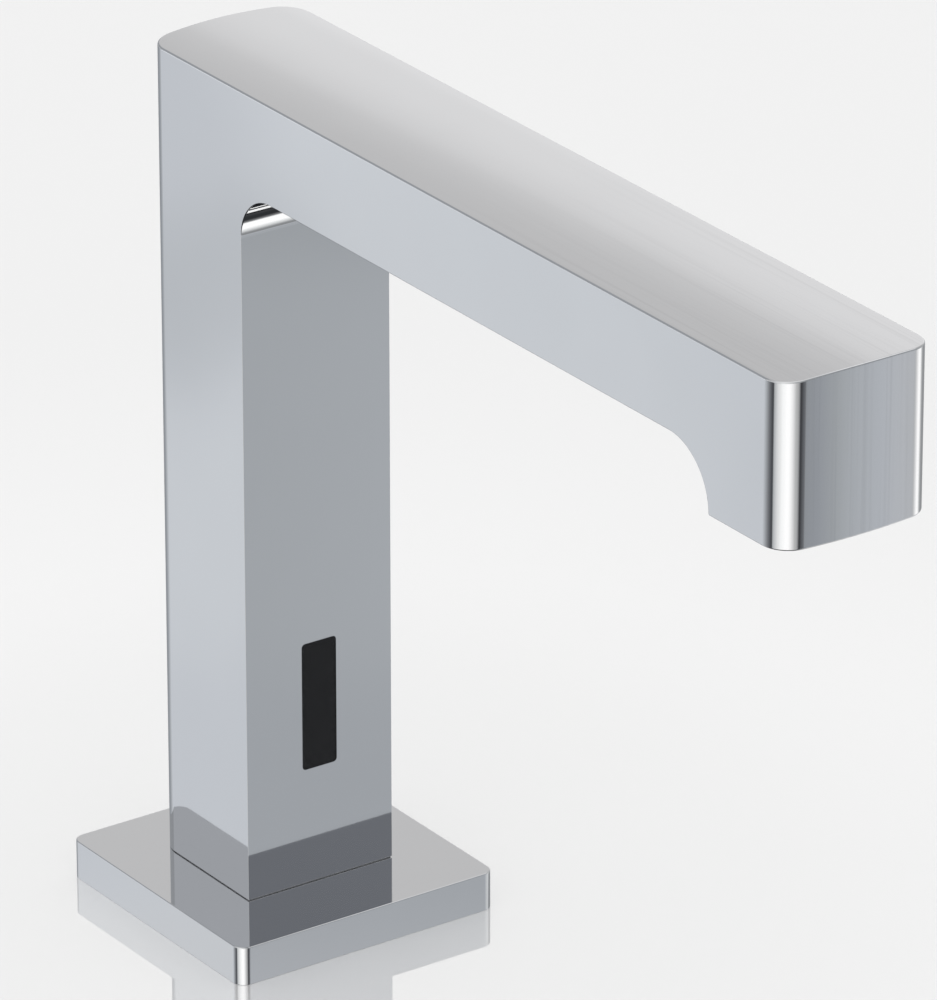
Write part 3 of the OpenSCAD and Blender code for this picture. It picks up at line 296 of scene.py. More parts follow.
SUN_POWER, SUN_SPREAD = 0.3, math.radians(80)
SUN_TILT = (math.radians(38), math.radians(-24), 0)


def make_lamp():
    """A soft sun from the front left, which shades the floor and the matt pieces."""
    data = bpy.data.lights.new("key", "SUN")
    data.energy = SUN_POWER
    data.angle = SUN_SPREAD
    lamp = bpy.data.objects.new("key", data)
    bpy.context.scene.collection.objects.link(lamp)
    lamp.rotation_euler = SUN_TILT
    lamp.visible_glossy = False


FLOOR_HALF = 4
# Painted light on the floor: its paint is lighter near the object, to make up for the object's
# shade there, and darker farther off, where more light falls; the two colours, and the distances
# between them
FLOOR_NEAR, FLOOR_FAR = "f1f1f1", "ebebeb"
PAINTED_LIGHT_FROM, PAINTED_LIGHT_TO = 0.1, 0.3
# The polish shows the foot's reflection and fades out farther off
POLISH_NEAR, POLISH_FAR = 0.55, 0.08
POLISH_FROM, POLISH_TO = 0.085, 0.16
# Heights of the clear films over the floor
FILM_HEIGHTS = {"floor_film_low": 0.02 * MM, "floor_film_high": 0.04 * MM}


def flat_sheet(name, paint, z):
    """A wide sheet of the stage at the height z."""
    bm = bmesh.new()
    bmesh.ops.create_grid(bm, x_segments=8, y_segments=8, size=FLOOR_HALF)
    sheet = from_bm(name, bm)
    sheet.location.z = z
    sheet.data.materials.append(bpy.data.materials[paint])


def make_floor():
    """The floor, and two clear films just over it by which the world knows its reflection."""
    net, out = material("floor_paint")
    where = net.add("TexCoord").outputs["Object"]
    away = net.add("VectorMath", {0: where}, operation="LENGTH").outputs["Value"]
    # Painted light: the floor's paint darkens with distance, to even out the object's shade near
    # it
    painted_floor_light = net.mix(net.span(away, PAINTED_LIGHT_FROM, PAINTED_LIGHT_TO, smooth=True),
                   lin(FLOOR_NEAR), lin(FLOOR_FAR))
    paint = net.add("BsdfDiffuse", {"Color": painted_floor_light}).outputs[0]
    polish = net.add("BsdfGlossy", {"Color": lin("ffffff"), "Roughness": 0.0}).outputs[0]
    share = net.span(away, POLISH_FROM, POLISH_TO, POLISH_NEAR, POLISH_FAR, smooth=True)
    solid = net.add("MixShader", {0: share, 1: paint, 2: polish}).outputs[0]
    # The chrome and a camera under the floor look through it
    clear = net.add("BsdfTransparent").outputs[0]
    under = net.add("NewGeometry").outputs["Backfacing"]
    glossy = net.add("LightPath").outputs["Is Glossy Ray"]
    through = net.math("MAXIMUM", glossy, under)
    both = net.add("MixShader", {0: through, 1: solid, 2: clear})
    net.put(out, both.outputs[0])
    flat_sheet("floor", "floor_paint", 0)
    net, out = material("film_clear")
    net.put(out, net.add("BsdfTransparent").outputs[0])
    for name, z in FILM_HEIGHTS.items():
        flat_sheet(name, "film_clear", z)


# Materials

def material(name):
    m = bpy.data.materials.new(name)
    m.use_nodes = True
    net = Net(m.node_tree)
    out = net.add("OutputMaterial")
    return net, out.inputs["Surface"]


def place(net, scale):
    """Texture coordinates in the object's own frame, stretched by axis."""
    where = net.add("TexCoord").outputs["Object"]
    return net.add("Mapping", {"Vector": where, "Scale": scale}).outputs[0]


def noise(net, scale, detail=2.0, rough=0.5):
    n = net.add("TexNoise", {"Vector": place(net, scale), "Scale": 1.0, "Detail": detail,
                             "Roughness": rough})
    return n.outputs["Fac"]


CHROME_LOW, CHROME_HIGH = (0.85, 0.85, 0.853, 1), (0.87, 0.87, 0.872, 1)
# Painted reflection streaks on the arm: the darker colour of their lines, and their noise's
# stretch
REFLECTION_STREAK_COLOUR = (0.79, 0.79, 0.793, 1)
REFLECTION_STREAK_SCALE = (700, 6, 6)
# Along y: where the painted reflection streaks of the arm begin, and where they are full
REFLECTION_STREAK_FROM, REFLECTION_STREAK_FULL = -0.06, -0.16


def chrome(name, streaks, depth, painted_streaks=False):
    """Mirror chrome with faint polishing streaks along the axis that is scaled least, as bumps;
    with painted_streaks, also painted reflection streaks along the arm, as darker lines in its
    colour.
    """
    net, out = material(name)
    cloud = noise(net, (60, 60, 60), 3.0)
    base = net.mix(cloud, CHROME_LOW, CHROME_HIGH)
    streak = noise(net, streaks, 4.0, 0.6)
    # Painted reflection streaks: darker lines in the colour, fading in along the arm towards the
    # nose
    if painted_streaks:
        lines = noise(net, REFLECTION_STREAK_SCALE, 3.0, 0.7)
        where = net.add("TexCoord").outputs["Object"]
        along = net.add("SeparateXYZ", {0: where}).outputs[1]
        share = net.both(net.span(along, REFLECTION_STREAK_FROM, REFLECTION_STREAK_FULL, smooth=True),
                         net.span(lines, 0.5, 0.72))
        base = net.mix(share, base, REFLECTION_STREAK_COLOUR)
    bump = net.add("Bump", {"Strength": 0.6, "Distance": depth, "Height": streak})
    rough = net.span(noise(net, (9, 9, 9), 2.0), 0.3, 0.7, 0.035, 0.06)
    shader = net.add("BsdfPrincipled", {
        "Base Color": base, "Metallic": 1.0, "Roughness": rough, "Normal": bump.outputs[0]})
    net.put(out, shader.outputs[0])


def metal(name, dark, light, rough, grain, depth=0.00002):
    """Turned or pressed metal with fine marks."""
    net, out = material(name)
    cloud = noise(net, (180, 180, 180), 4.0, 0.6)
    fine = noise(net, grain, 4.0, 0.6)
    base = net.mix(net.span(cloud, 0.3, 0.7), lin(dark), lin(light))
    spread = net.span(fine, 0.3, 0.7, rough - 0.06, rough + 0.08)
    bump = net.add("Bump", {"Strength": 0.5, "Distance": depth, "Height": fine})
    shader = net.add("BsdfPrincipled", {
        "Base Color": base, "Metallic": 1.0, "Roughness": spread, "Normal": bump.outputs[0]})
    net.put(out, shader.outputs[0])


def plastic(name, dark, light, rough, grain=2500, depth=0.00003, coat=0.0, specular=0.5):
    """Moulded plastic or rubber: a slight mottle and a fine grain."""
    net, out = material(name)
    cloud = noise(net, (90, 90, 90), 3.0)
    fine = noise(net, (grain, grain, grain), 2.0)
    base = net.mix(net.span(cloud, 0.3, 0.7), lin(dark), lin(light))
    spread = net.span(cloud, 0.3, 0.7, rough - 0.05, rough + 0.05)
    bump = net.add("Bump", {"Strength": 0.4, "Distance": depth, "Height": fine})
    shader = net.add("BsdfPrincipled", {
        "Base Color": base, "Roughness": spread, "Coat Weight": coat, "Coat Roughness": 0.05,
        "Specular IOR Level": specular, "Normal": bump.outputs[0]})
    net.put(out, shader.outputs[0])


def make_materials():
    chrome("chrome_body", (420, 9, 60), 0.000004, True)
    chrome("chrome_plate", (160, 160, 40), 0.000001)
    chrome("chrome_small", (500, 500, 60), 0.000003)
    metal("cast_inside", "8c8778", "a59f8e", 0.5, (900, 900, 900), 0.00006)
    metal("brass_turned", "b3924f", "c9a864", 0.28, (300, 300, 6000))
    metal("steel_plain", "a2a5a9", "bdc0c4", 0.26, (800, 800, 3000))
    metal("steel_sheet", "a9acb0", "bfc2c6", 0.32, (2500, 200, 2500))
    metal("steel_dark", "6f7378", "8b8f94", 0.34, (900, 900, 3000))
    metal("steel_mesh", "9b9ea2", "b9bcc0", 0.3, (2500, 2500, 2500))
    metal("copper_wire", "a4532b", "c97846", 0.3, (300, 300, 9000))
    plastic("rubber_black", "1c1c1d", "2a2a2b", 0.62, 1800, 0.00006)
    plastic("rubber_seal", "161617", "222223", 0.5, 2200, 0.00004)
    plastic("window_dark", "131314", "181819", 0.14, 3500, 0.000002, 0.0, 0.3)
    plastic("case_black", "1d1e20", "2b2c2f", 0.42)
    plastic("lens_violet", "2c2840", "403a58", 0.1, 3500, 0.000002, 0.5)
    plastic("lens_black", "17171c", "24242c", 0.1, 3500, 0.000002, 0.5)
    plastic("board_green", "255a39", "347a4c", 0.35, 3500, 0.00002, 0.3)
    plastic("valve_grey", "353a41", "474e57", 0.45)
    plastic("tube_white", "dedbd2", "efede6", 0.4)
    plastic("bobbin_cream", "dcd6c2", "ece7d6", 0.4)
    plastic("insert_white", "dcdcd7", "eeeeea", 0.38)
    plastic("lead_sheath", "2b2b2d", "3d3d40", 0.55)
    plastic("gasket_dark", "5e6064", "6a6c70", 0.6, 1800, 0.00005)


# Mesh helpers

def from_bm(name, bm):
    mesh = bpy.data.meshes.new(name)
    bm.to_mesh(mesh)
    bm.free()
    obj = bpy.data.objects.new(name, mesh)
    bpy.context.scene.collection.objects.link(obj)
    return obj


def prism(name, points, z0, z1):
    """Upright prism on a plan of (x, y) points, given counter-clockwise."""
    bm = bmesh.new()
    low = [bm.verts.new((x, y, z0)) for x, y in points]
    high = [bm.verts.new((x, y, z1)) for x, y in points]
    bm.faces.new(low[::-1])
    bm.faces.new(high)
    for i in range(len(points)):
        j = (i + 1) % len(points)
        bm.faces.new((low[i], low[j], high[j], high[i]))
    return from_bm(name, bm)


def arc(cx, cy, r, a0, a1, n):
    """Points of an arc, both ends included, angles in degrees."""
    return [(cx + r * math.cos(math.radians(a0 + (a1 - a0) * i / n)),
             cy + r * math.sin(math.radians(a0 + (a1 - a0) * i / n))) for i in range(n + 1)]


def circle(cx, cy, r, n=96):
    return arc(cx, cy, r, 0, 360 - 360 / n, n - 1)


def rounded(cx, cy, w, d, r, n=8):
    """Counter-clockwise outline of a rectangle with round corners."""
    points = []
    for sx, sy, a in ((1, 1, 0), (-1, 1, 90), (-1, -1, 180), (1, -1, 270)):
        points += arc(cx + sx * (w / 2 - r), cy + sy * (d / 2 - r), r, a, a + 90, n)
    return points


def block(x0, x1, y0, y1):
    """Counter-clockwise outline of a rectangle from its sides."""
    return [(x0, y0), (x1, y0), (x1, y1), (x0, y1)]


def cut(obj, tool, how="DIFFERENCE"):
    """Joins or cuts two meshes exactly, and drops the tool."""
    step = obj.modifiers.new("cut", "BOOLEAN")
    step.operation = how
    step.solver = "EXACT"
    step.object = tool
    bpy.context.view_layer.update()
    view = bpy.context.evaluated_depsgraph_get()
    mesh = bpy.data.meshes.new_from_object(obj.evaluated_get(view))
    obj.modifiers.clear()
    obj.data = mesh
    bpy.data.objects.remove(tool)


def ring_solid(name, rows):
    """A solid round an axis: quads between rows of points, the last joined to the first."""
    bm = bmesh.new()
    made = [[bm.verts.new(p) for p in row] for row in rows]
    n = len(rows[0])
    for a, b in zip(made, made[1:] + made[:1]):
        for i in range(n):
            j = (i + 1) % n
            bm.faces.new((a[i], a[j], b[j], b[i]))
    bmesh.ops.recalc_face_normals(bm, faces=bm.faces)
    return from_bm(name, bm)


# Solids with small round edges, and their normals

SHARP = math.radians(45)
# How far a point may lie off the round skin and still belong to it, how close to a limit
# it counts as on it, and the length that counts as none
SKIN_SLACK, TOUCH, TINY = 2e-5, 1e-7, 1e-9
# Least likeness of a face's normal to its corners' normals, on the skin and inside
SKIN_LIKE, INNER_LIKE = 0.75, 0.85


class Rounded:
    """A solid with round edges. Its bevels list (lowest z, width) from the top down, and
    radius gives the edge's true radius at a point, no more than the bevel's width there.
    Each part of the skin is a function that gives, at a point, its distance outside the
    flat skin and the outward direction."""

    def __init__(self, bevels, radius, skins):
        self.bevels = bevels
        self.radius = radius
        self.skins = skins

    def width(self, p):
        return next(w for z, w in self.bevels if p.z > z)

    def bevel(self, bm):
        """Bevels the sharp edges, zone by zone."""
        above = math.inf
        for lowest, width in self.bevels:
            sharp = [e for e in bm.edges if len(e.link_faces) == 2
                     and e.calc_face_angle() > SHARP
                     and lowest < max(v.co.z for v in e.verts) <= above]
            above = lowest
            bmesh.ops.bevel(bm, geom=sharp, offset=width, offset_type="OFFSET", segments=3,
                            profile=0.5, affect="EDGES", clamp_overlap=False)

    def reach(self, p, r):
        """Sum of what the point lies outside each skin that is sunk by r, and the skins'
        summed directions."""
        total, corner = Vector((0, 0, 0)), Vector((0, 0, 0))
        for skin in self.skins:
            away, out = skin(p)
            if away + r > -TOUCH:
                total += out * (away + r)
                corner += out
        return total, corner

    def settle(self, verts):
        """Moves the bevel's points onto the round edge of the true radius."""
        for v in verts:
            width, r = self.width(v.co), self.radius(v.co)
            total, corner = self.reach(v.co, width)
            if total.length > TINY:
                v.co += corner * (width - r) + total.normalized() * r - total

    def shade(self, mesh, outside, inside):
        """Sets true normals on the outer skin and plain ones inside, and the materials."""
        centre = {}
        on_skin = []
        for v in mesh.vertices:
            r = self.radius(v.co)
            total = self.reach(v.co, r)[0]
            centre[v.index] = total.normalized() if total.length > TINY else None
            on_skin.append(abs(total.length - r) < SKIN_SLACK)
        outer = []
        for f in mesh.polygons:
            outer.append(all(
                on_skin[i] and centre[i] and centre[i].dot(f.normal) > SKIN_LIKE
                for i in f.vertices))
        around = [[] for _ in mesh.vertices]
        for f in mesh.polygons:
            if not outer[f.index]:
                for i in f.vertices:
                    around[i].append(f)
        normals = [Vector((0, 0, 1))] * len(mesh.loops)
        for f in mesh.polygons:
            f.use_smooth = True
            f.material_index = 0 if outer[f.index] else 1
            for k in f.loop_indices:
                i = mesh.loops[k].vertex_index
                if outer[f.index]:
                    normals[k] = centre[i]
                else:
                    near = [g for g in around[i] if g.normal.dot(f.normal) > INNER_LIKE]
                    total = sum((g.normal * g.area for g in near), Vector((0, 0, 0)))
                    flat = total.length < TINY * TINY
                    normals[k] = f.normal.copy() if flat else total.normalized()
        mesh.materials.clear()
        mesh.materials.append(bpy.data.materials[outside])
        mesh.materials.append(bpy.data.materials[inside])
        mesh.normals_split_custom_set(normals)


# The body: column, arm and nose in one casting. Places and sizes that the solid has are
# repeated here in millimetres

BODY_LOW, BODY_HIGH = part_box("body_shell")
HALF = BODY_HIGH.x
CORNER = 5.7 * MM
BOW = 0.55 * MM
CROWN = 0.7 * MM
TOP = BODY_HIGH.z - CROWN
BOW_HALF = HALF - CORNER
BOW_R = (BOW_HALF ** 2 + BOW ** 2) / (2 * BOW)
BOW_Y = math.sqrt((BOW_R - CORNER) ** 2 - BOW_HALF ** 2)
BOW_TURN = math.degrees(math.atan2(BOW_HALF, BOW_Y))
REACH = 187.3 * MM
FRONT_CORNER = CORNER - REACH
BACK_CORNER = 16.05 * MM - CORNER
COLUMN_Y = -16.05 * MM
FILLET = 10 * MM
UNDER = 158.35 * MM
NOSE_Z = 146.2 * MM
NOSE_Y = -165.6 * MM
ARCH = UNDER - NOSE_Z
FOOT = BODY_LOW.z
TOP_EDGE, ARM_EDGE, COLUMN_EDGE = 0.36 * MM, 0.28 * MM, 0.05 * MM
AERATOR_Y = (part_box("aerator_housing")[0].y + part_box("aerator_housing")[1].y) / 2
CORNER_STEPS, BOW_STEPS, FILLET_STEPS, ARCH_STEPS = 18, 14, 32, 36
# Heights and depths that tell the arm's top, the column and the nose apart
TOP_ZONE = TOP - 2 * MM
NOSE_ZONE = -60 * MM
MIDDLE_Y = -100 * MM
EDGE_GROWTH = 4 * MM


def front_outline():
    """The nose's plan from the left side to the right side."""
    y = FRONT_CORNER
    left = arc(-BOW_HALF, y, CORNER, 180, 270 - BOW_TURN, CORNER_STEPS)
    bow = arc(0, y + BOW_Y, BOW_R, 270 - BOW_TURN, 270 + BOW_TURN, BOW_STEPS)
    right = arc(BOW_HALF, y, CORNER, 270 + BOW_TURN, 360, CORNER_STEPS)
    return left + bow[1:-1] + right


def back_outline():
    """The column's back plan from the right side to the left side."""
    return [(-x, FRONT_CORNER + BACK_CORNER - y) for x, y in front_outline()]


def under_chain():
    """The open underside from the column's foot to the nose, as (y, z)."""
    fillet = arc(COLUMN_Y - FILLET, UNDER - FILLET, FILLET, 0, 90, FILLET_STEPS)
    arch = arc(NOSE_Y + ARCH, NOSE_Z, ARCH, 90, 180, ARCH_STEPS)
    return [(COLUMN_Y, FOOT)] + fillet + arch


def crown_rise(x):
    return CROWN * (1 - (x / HALF) ** 2)


def skin_plan(p):
    ahead = p.y < FRONT_CORNER
    if not ahead and p.y < BACK_CORNER:
        return abs(p.x) - HALF, Vector((math.copysign(1, p.x), 0, 0))
    away = -1 if ahead else 1
    cy = FRONT_CORNER if ahead else BACK_CORNER
    side = math.copysign(1, p.x)
    middle = Vector((0, cy - away * BOW_Y, 0))
    flat = Vector((p.x, p.y, 0))
    radial = flat - middle
    if abs(math.degrees(math.atan2(p.x, away * radial.y))) < BOW_TURN:
        return radial.length - BOW_R, radial.normalized()
    v = flat - Vector((side * BOW_HALF, cy, 0))
    return v.length - CORNER, v.normalized()


def skin_under(p):
    y, z = p.y, p.z
    if y > COLUMN_Y - FILLET:
        if z < UNDER - FILLET:
            return COLUMN_Y - y, Vector((0, -1, 0))
        v = Vector((0, COLUMN_Y - FILLET - y, UNDER - FILLET - z))
        return FILLET - v.length, v.normalized()
    if y > NOSE_Y + ARCH:
        return UNDER - z, Vector((0, 0, -1))
    v = Vector((0, NOSE_Y + ARCH - y, NOSE_Z - z))
    return ARCH - v.length, v.normalized()


def skin_bottom(p):
    floor = NOSE_Z if p.y < NOSE_ZONE else FOOT
    return floor - p.z, Vector((0, 0, -1))


def skin_top(p):
    slope = -2 * CROWN * p.x / HALF ** 2
    n = Vector((-slope, 0, 1)).normalized()
    return (p.z - TOP - crown_rise(p.x)) * n.z, n


def body_outside():
    front, back = front_outline(), back_outline()
    bm = bmesh.new()

    def column_of(points, z0):
        low = [bm.verts.new((x, y, z0)) for x, y in points]
        high = [bm.verts.new((x, y, TOP)) for x, y in points]
        for i in range(len(points) - 1):
            bm.faces.new((low[i], low[i + 1], high[i + 1], high[i]))
        return low, high

    front_low, front_high = column_of(front, NOSE_Z)
    back_low, back_high = column_of(back, FOOT)
    chain = under_chain()
    left = [bm.verts.new((-HALF, y, z)) for y, z in chain]
    right = [bm.verts.new((HALF, y, z)) for y, z in chain]
    for i in range(len(chain) - 1):
        bm.faces.new((left[i], left[i + 1], right[i + 1], right[i]))
    bm.faces.new([back_high[-1], back_low[-1]] + left + [front_low[0], front_high[0]])
    bm.faces.new([front_high[-1], front_low[-1]] + right[::-1] + [back_low[0], back_high[0]])
    bm.faces.new([left[-1], right[-1]] + front_low[::-1])
    bm.faces.new([right[0], left[0]] + back_low[::-1])
    bm.faces.new(front_high + back_high)
    bmesh.ops.recalc_face_normals(bm, faces=bm.faces)
    bm.normal_update()
    BODY_SKIN.bevel(bm)
    for v in bm.verts:
        if v.co.z > TOP - TOP_EDGE - TOUCH:
            v.co.z += crown_rise(v.co.x)
    BODY_SKIN.settle(bm.verts)
    top = max((f for f in bm.faces if f.normal.z > 0.99), key=lambda f: f.calc_area())
    ring = list(top.verts)
    bm.faces.remove(top)
    ahead = sorted((v for v in ring if v.co.y < MIDDLE_Y), key=lambda v: v.co.x)
    behind = sorted((v for v in ring if v.co.y > MIDDLE_Y), key=lambda v: v.co.x)
    for i in range(len(ahead) - 1):
        bm.faces.new((ahead[i], ahead[i + 1], behind[i + 1], behind[i]))
    bmesh.ops.recalc_face_normals(bm, faces=bm.faces)
    return from_bm("body", bm)


def body_radius(p):
    """The edge radius: small on the column, and growing up the fillet to the arm's."""
    if p.z > TOP_ZONE:
        return TOP_EDGE
    if p.y < NOSE_ZONE:
        return ARM_EDGE
    up = min(1.0, max(0.0, (p.z - UNDER + FILLET) / EDGE_GROWTH))
    return COLUMN_EDGE + (ARM_EDGE - COLUMN_EDGE) * up


BODY_SKIN = Rounded([(TOP_ZONE, TOP_EDGE), (-1, ARM_EDGE)], body_radius,
                    [skin_plan, skin_under, skin_bottom, skin_top])

WALL = 2.2 * MM
CAVITY_X, CAVITY_Y = HALF - WALL, -COLUMN_Y - WALL
CAVITY_CORNER = 3.5 * MM
CAVITY_TOP = 176.3 * MM
ARM_FLOOR = 160.7 * MM
LUG = (11.2 * MM, 10.25 * MM)
LUG_R = 3 * MM
LUG_WEB = 4.2 * MM
LUG_LOW, LUG_HIGH = 30.1 * MM, 42.1 * MM
THREAD_HOLE_R = 1.55 * MM
# Heights of the screw holes in the lugs: from below in all four, from above in the front two
LOW_HOLES, HIGH_HOLES = (29 * MM, 36.1 * MM), (37.3 * MM, 43 * MM)
WINDOW_W, WINDOW_H, WINDOW_CORNER = 8.05 * MM, 27.1 * MM, 0.8 * MM
WINDOW_MIDDLE = 46.35 * MM
WINDOW_BACK, WINDOW_FRONT = 12 * MM, 18 * MM
AERATOR_BORE_R, AERATOR_BORE_TOP = 9.25 * MM, 156.2 * MM
OUTLET_R, OUTLET_LOW, OUTLET_HIGH = 7.05 * MM, 150 * MM, 162 * MM


def lug_outline(sx, sy):
    """A lug with its webs into both walls of a corner."""
    pts = [(LUG_WEB, -LUG_R)] + arc(0, 0, LUG_R, 270, 180, 10)
    pts += [(-LUG_R, LUG_WEB), (LUG_R, LUG_WEB), (LUG_R, LUG_R), (LUG_WEB, LUG_R)]
    pts = [(sx * (LUG[0] + x), sy * (LUG[1] + y)) for x, y in pts]
    return pts[::-1] if sx * sy > 0 else pts


def bore(obj, x, y, r, z0, z1, n=96):
    """Cuts an upright round hole."""
    cut(obj, prism("hole", circle(x, y, r, n), z0, z1))


def make_body():
    body = body_outside()
    hollow = prism("hollow", rounded(0, 0, 2 * CAVITY_X, 2 * CAVITY_Y, CAVITY_CORNER),
                   FOOT - MM, CAVITY_TOP)
    for sx in (-1, 1):
        for sy in (-1, 1):
            cut(hollow, prism("lug", lug_outline(sx, sy), LUG_LOW, LUG_HIGH))
    corner_x, corner_y = CAVITY_X - CAVITY_CORNER, WALL - REACH + CAVITY_CORNER
    arm = arc(-corner_x, corner_y, CAVITY_CORNER, 180, 270, 8)
    arm += arc(corner_x, corner_y, CAVITY_CORNER, 270, 360, 8)
    arm += [(CAVITY_X, 0), (-CAVITY_X, 0)]
    cut(hollow, prism("arm_hollow", arm, ARM_FLOOR, CAVITY_TOP), "UNION")
    cut(body, hollow)
    window = prism("hole", rounded(0, WINDOW_MIDDLE, WINDOW_W, WINDOW_H, WINDOW_CORNER),
                   WINDOW_BACK, WINDOW_FRONT)
    window.data.transform(Matrix.Rotation(math.radians(90), 4, "X"))
    cut(body, window)
    for sx in (-1, 1):
        for sy in (-1, 1):
            bore(body, sx * LUG[0], sy * LUG[1], THREAD_HOLE_R, *LOW_HOLES, 24)
        bore(body, sx * LUG[0], -LUG[1], THREAD_HOLE_R, *HIGH_HOLES, 24)
    bore(body, 0, AERATOR_Y, AERATOR_BORE_R, NOSE_Z - MM, AERATOR_BORE_TOP)
    bore(body, 0, AERATOR_Y, OUTLET_R, OUTLET_LOW, OUTLET_HIGH)
    BODY_SKIN.shade(body.data, "chrome_body", "cast_inside")
    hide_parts("body_shell")
    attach(body, "tap")


# The base plate

PLATE_LOW, PLATE_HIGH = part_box("base_plate")
PLATE_HALF = PLATE_HIGH.x
PLATE_Y = (PLATE_LOW.y + PLATE_HIGH.y) / 2
PLATE_CORNER = 2.6 * MM
PLATE_EDGE, PLATE_FOOT_EDGE = 0.22 * MM, 0.06 * MM
PLATE_MIDDLE = 4 * MM
PLATE_WALL = 3 * MM
RECESS = 1.5 * MM
HUB_R, RIB_TOP = 17 * MM, 6 * MM
RIB_HALF, RIB_REACH = MM, 40 * MM
SHANK_R = 11 * MM
SHANK_GAP = 0.3 * MM


def skin_plate(p):
    x, y = p.x, p.y - PLATE_Y
    flat = PLATE_HALF - PLATE_CORNER
    if abs(x) > flat and abs(y) > flat:
        v = Vector((x - math.copysign(flat, x), y - math.copysign(flat, y), 0))
        return v.length - PLATE_CORNER, v.normalized()
    if abs(x) > abs(y):
        return abs(x) - PLATE_HALF, Vector((math.copysign(1, x), 0, 0))
    return abs(y) - PLATE_HALF, Vector((0, math.copysign(1, y), 0))


def skin_plate_top(p):
    return p.z - PLATE_HIGH.z, Vector((0, 0, 1))


def skin_plate_bottom(p):
    return PLATE_LOW.z - p.z, Vector((0, 0, -1))


def plate_radius(p):
    return PLATE_EDGE if p.z > PLATE_MIDDLE else PLATE_FOOT_EDGE


PLATE_SKIN = Rounded([(PLATE_MIDDLE, PLATE_EDGE), (-1, PLATE_FOOT_EDGE)], plate_radius,
                     [skin_plate, skin_plate_top, skin_plate_bottom])


def make_plate():
    side = 2 * PLATE_HALF
    plan = rounded(0, PLATE_Y, side, side, PLATE_CORNER, 12)
    plate = prism("plate", plan, PLATE_LOW.z, PLATE_HIGH.z)
    bm = bmesh.new()
    bm.from_mesh(plate.data)
    PLATE_SKIN.bevel(bm)
    PLATE_SKIN.settle(bm.verts)
    bm.to_mesh(plate.data)
    bm.free()
    inner = PLATE_HALF - PLATE_WALL
    square = block(-inner, inner, PLATE_Y - inner, PLATE_Y + inner)
    pocket = prism("pocket", square, MM, PLATE_HIGH.z - PLATE_WALL)
    cut(pocket, prism("hub", circle(0, 0, HUB_R), 0, RIB_TOP))
    for x, y in ((RIB_HALF, RIB_REACH), (RIB_REACH, RIB_HALF)):
        cut(pocket, prism("rib", block(-x, x, -y, y), 0, RIB_TOP))
    cut(plate, pocket)
    cut(plate, prism("pocket", square, -MM, RECESS))
    bore(plate, 0, 0, SHANK_R + SHANK_GAP, -MM, PLATE_HIGH.z + MM)
    PLATE_SKIN.shade(plate.data, "chrome_plate", "cast_inside")
    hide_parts("base_plate")
    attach(plate, "tap")


# Threads

# How steep a thread's flanks are, and how much of its crest and root is flat
FLANK, LAND = 1.35, 0.175
ROWS_PER_TURN = 8


def thread_row(r, deep, pitch, z, n, fade=1.0, phase=0.0):
    """One row of a thread's surface at the height z: r is its crest, deep its depth."""
    row = []
    for i in range(n):
        t = (z / pitch - i / n + phase) % 1.0
        wave = min(1.0, max(0.0, abs(2 * t - 1) * FLANK - LAND))
        row.append((2 * math.pi * i / n, r - deep * wave * fade))
    return row


def polar(row, cy, z):
    """Points round an axis at y = cy, from (angle, radius)."""
    return [(r * math.cos(a), cy + r * math.sin(a), z) for a, r in row]


def ring_row(r, n, cy, z):
    return polar([(2 * math.pi * i / n, r) for i in range(n)], cy, z)


def outside_thread(r, deep, pitch, z0, z1, n, cy, chamfer):
    """Rows of an outside thread that fades at both ends."""
    rows = []
    count = max(2, round((z1 - z0) / pitch * ROWS_PER_TURN))
    for k in range(count + 1):
        z = z0 + (z1 - z0) * k / count
        near = min(z - z0, z1 - z)
        fade = min(1.0, near / (0.8 * pitch))
        row = thread_row(r, deep, pitch, z, n, fade)
        limit = r - chamfer + min(near, chamfer)
        rows.append(polar([(a, min(q, limit)) for a, q in row], cy, z))
    return rows


def smooth(obj, angle):
    """Smooth shading, with edges over the angle kept sharp."""
    for f in obj.data.polygons:
        f.use_smooth = True
    obj.data.set_sharp_from_angle(angle=math.radians(angle))


def finish_piece(obj, paint, body, node):
    """Paints a piece and puts it in its node's place."""
    obj.data.materials.clear()
    obj.data.materials.append(bpy.data.materials[paint])
    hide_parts(node)
    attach(obj, body)


SHANK_BORE_R = 8.5 * MM
SHANK_THREAD, SHANK_PITCH = 0.8 * MM, 1.5 * MM


def make_shank():
    low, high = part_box("threaded_shank")
    n = 72
    rows = [ring_row(SHANK_BORE_R, n, 0, z) for z in (high.z, low.z)]
    rows += outside_thread(SHANK_R, SHANK_THREAD, SHANK_PITCH, low.z, high.z, n, 0, MM)
    shank = ring_solid("shank", rows)
    smooth(shank, 40)
    finish_piece(shank, "brass_turned", "tap", "threaded_shank")


NUT_FLAT = 16 * MM
NUT_FLANGE_R, NUT_FLANGE_T, NUT_EDGE = 19.5 * MM, 1.5 * MM, 0.3 * MM
# The nut's thread: its least radius, its depth, and the way in which it fades at the ends
NUT_CREST_R, NUT_THREAD, NUT_FADE = SHANK_R - 0.35 * MM, 0.7 * MM, 1.2 * MM
NUT_MOUTH_R, NUT_CLOSING = SHANK_R + 0.5 * MM, 0.9 * MM
NUT_ROWS = 40
# Heights over the low end at which the round chamfer on the flats is drawn, and its start
CHAMFER_STEPS = (0, 0.25, 0.5, 0.8, 1.15, 1.6, 2.1)
CHAMFER_R, CHAMFER_SLOPE = NUT_FLAT + 0.4 * MM, math.tan(math.radians(60))


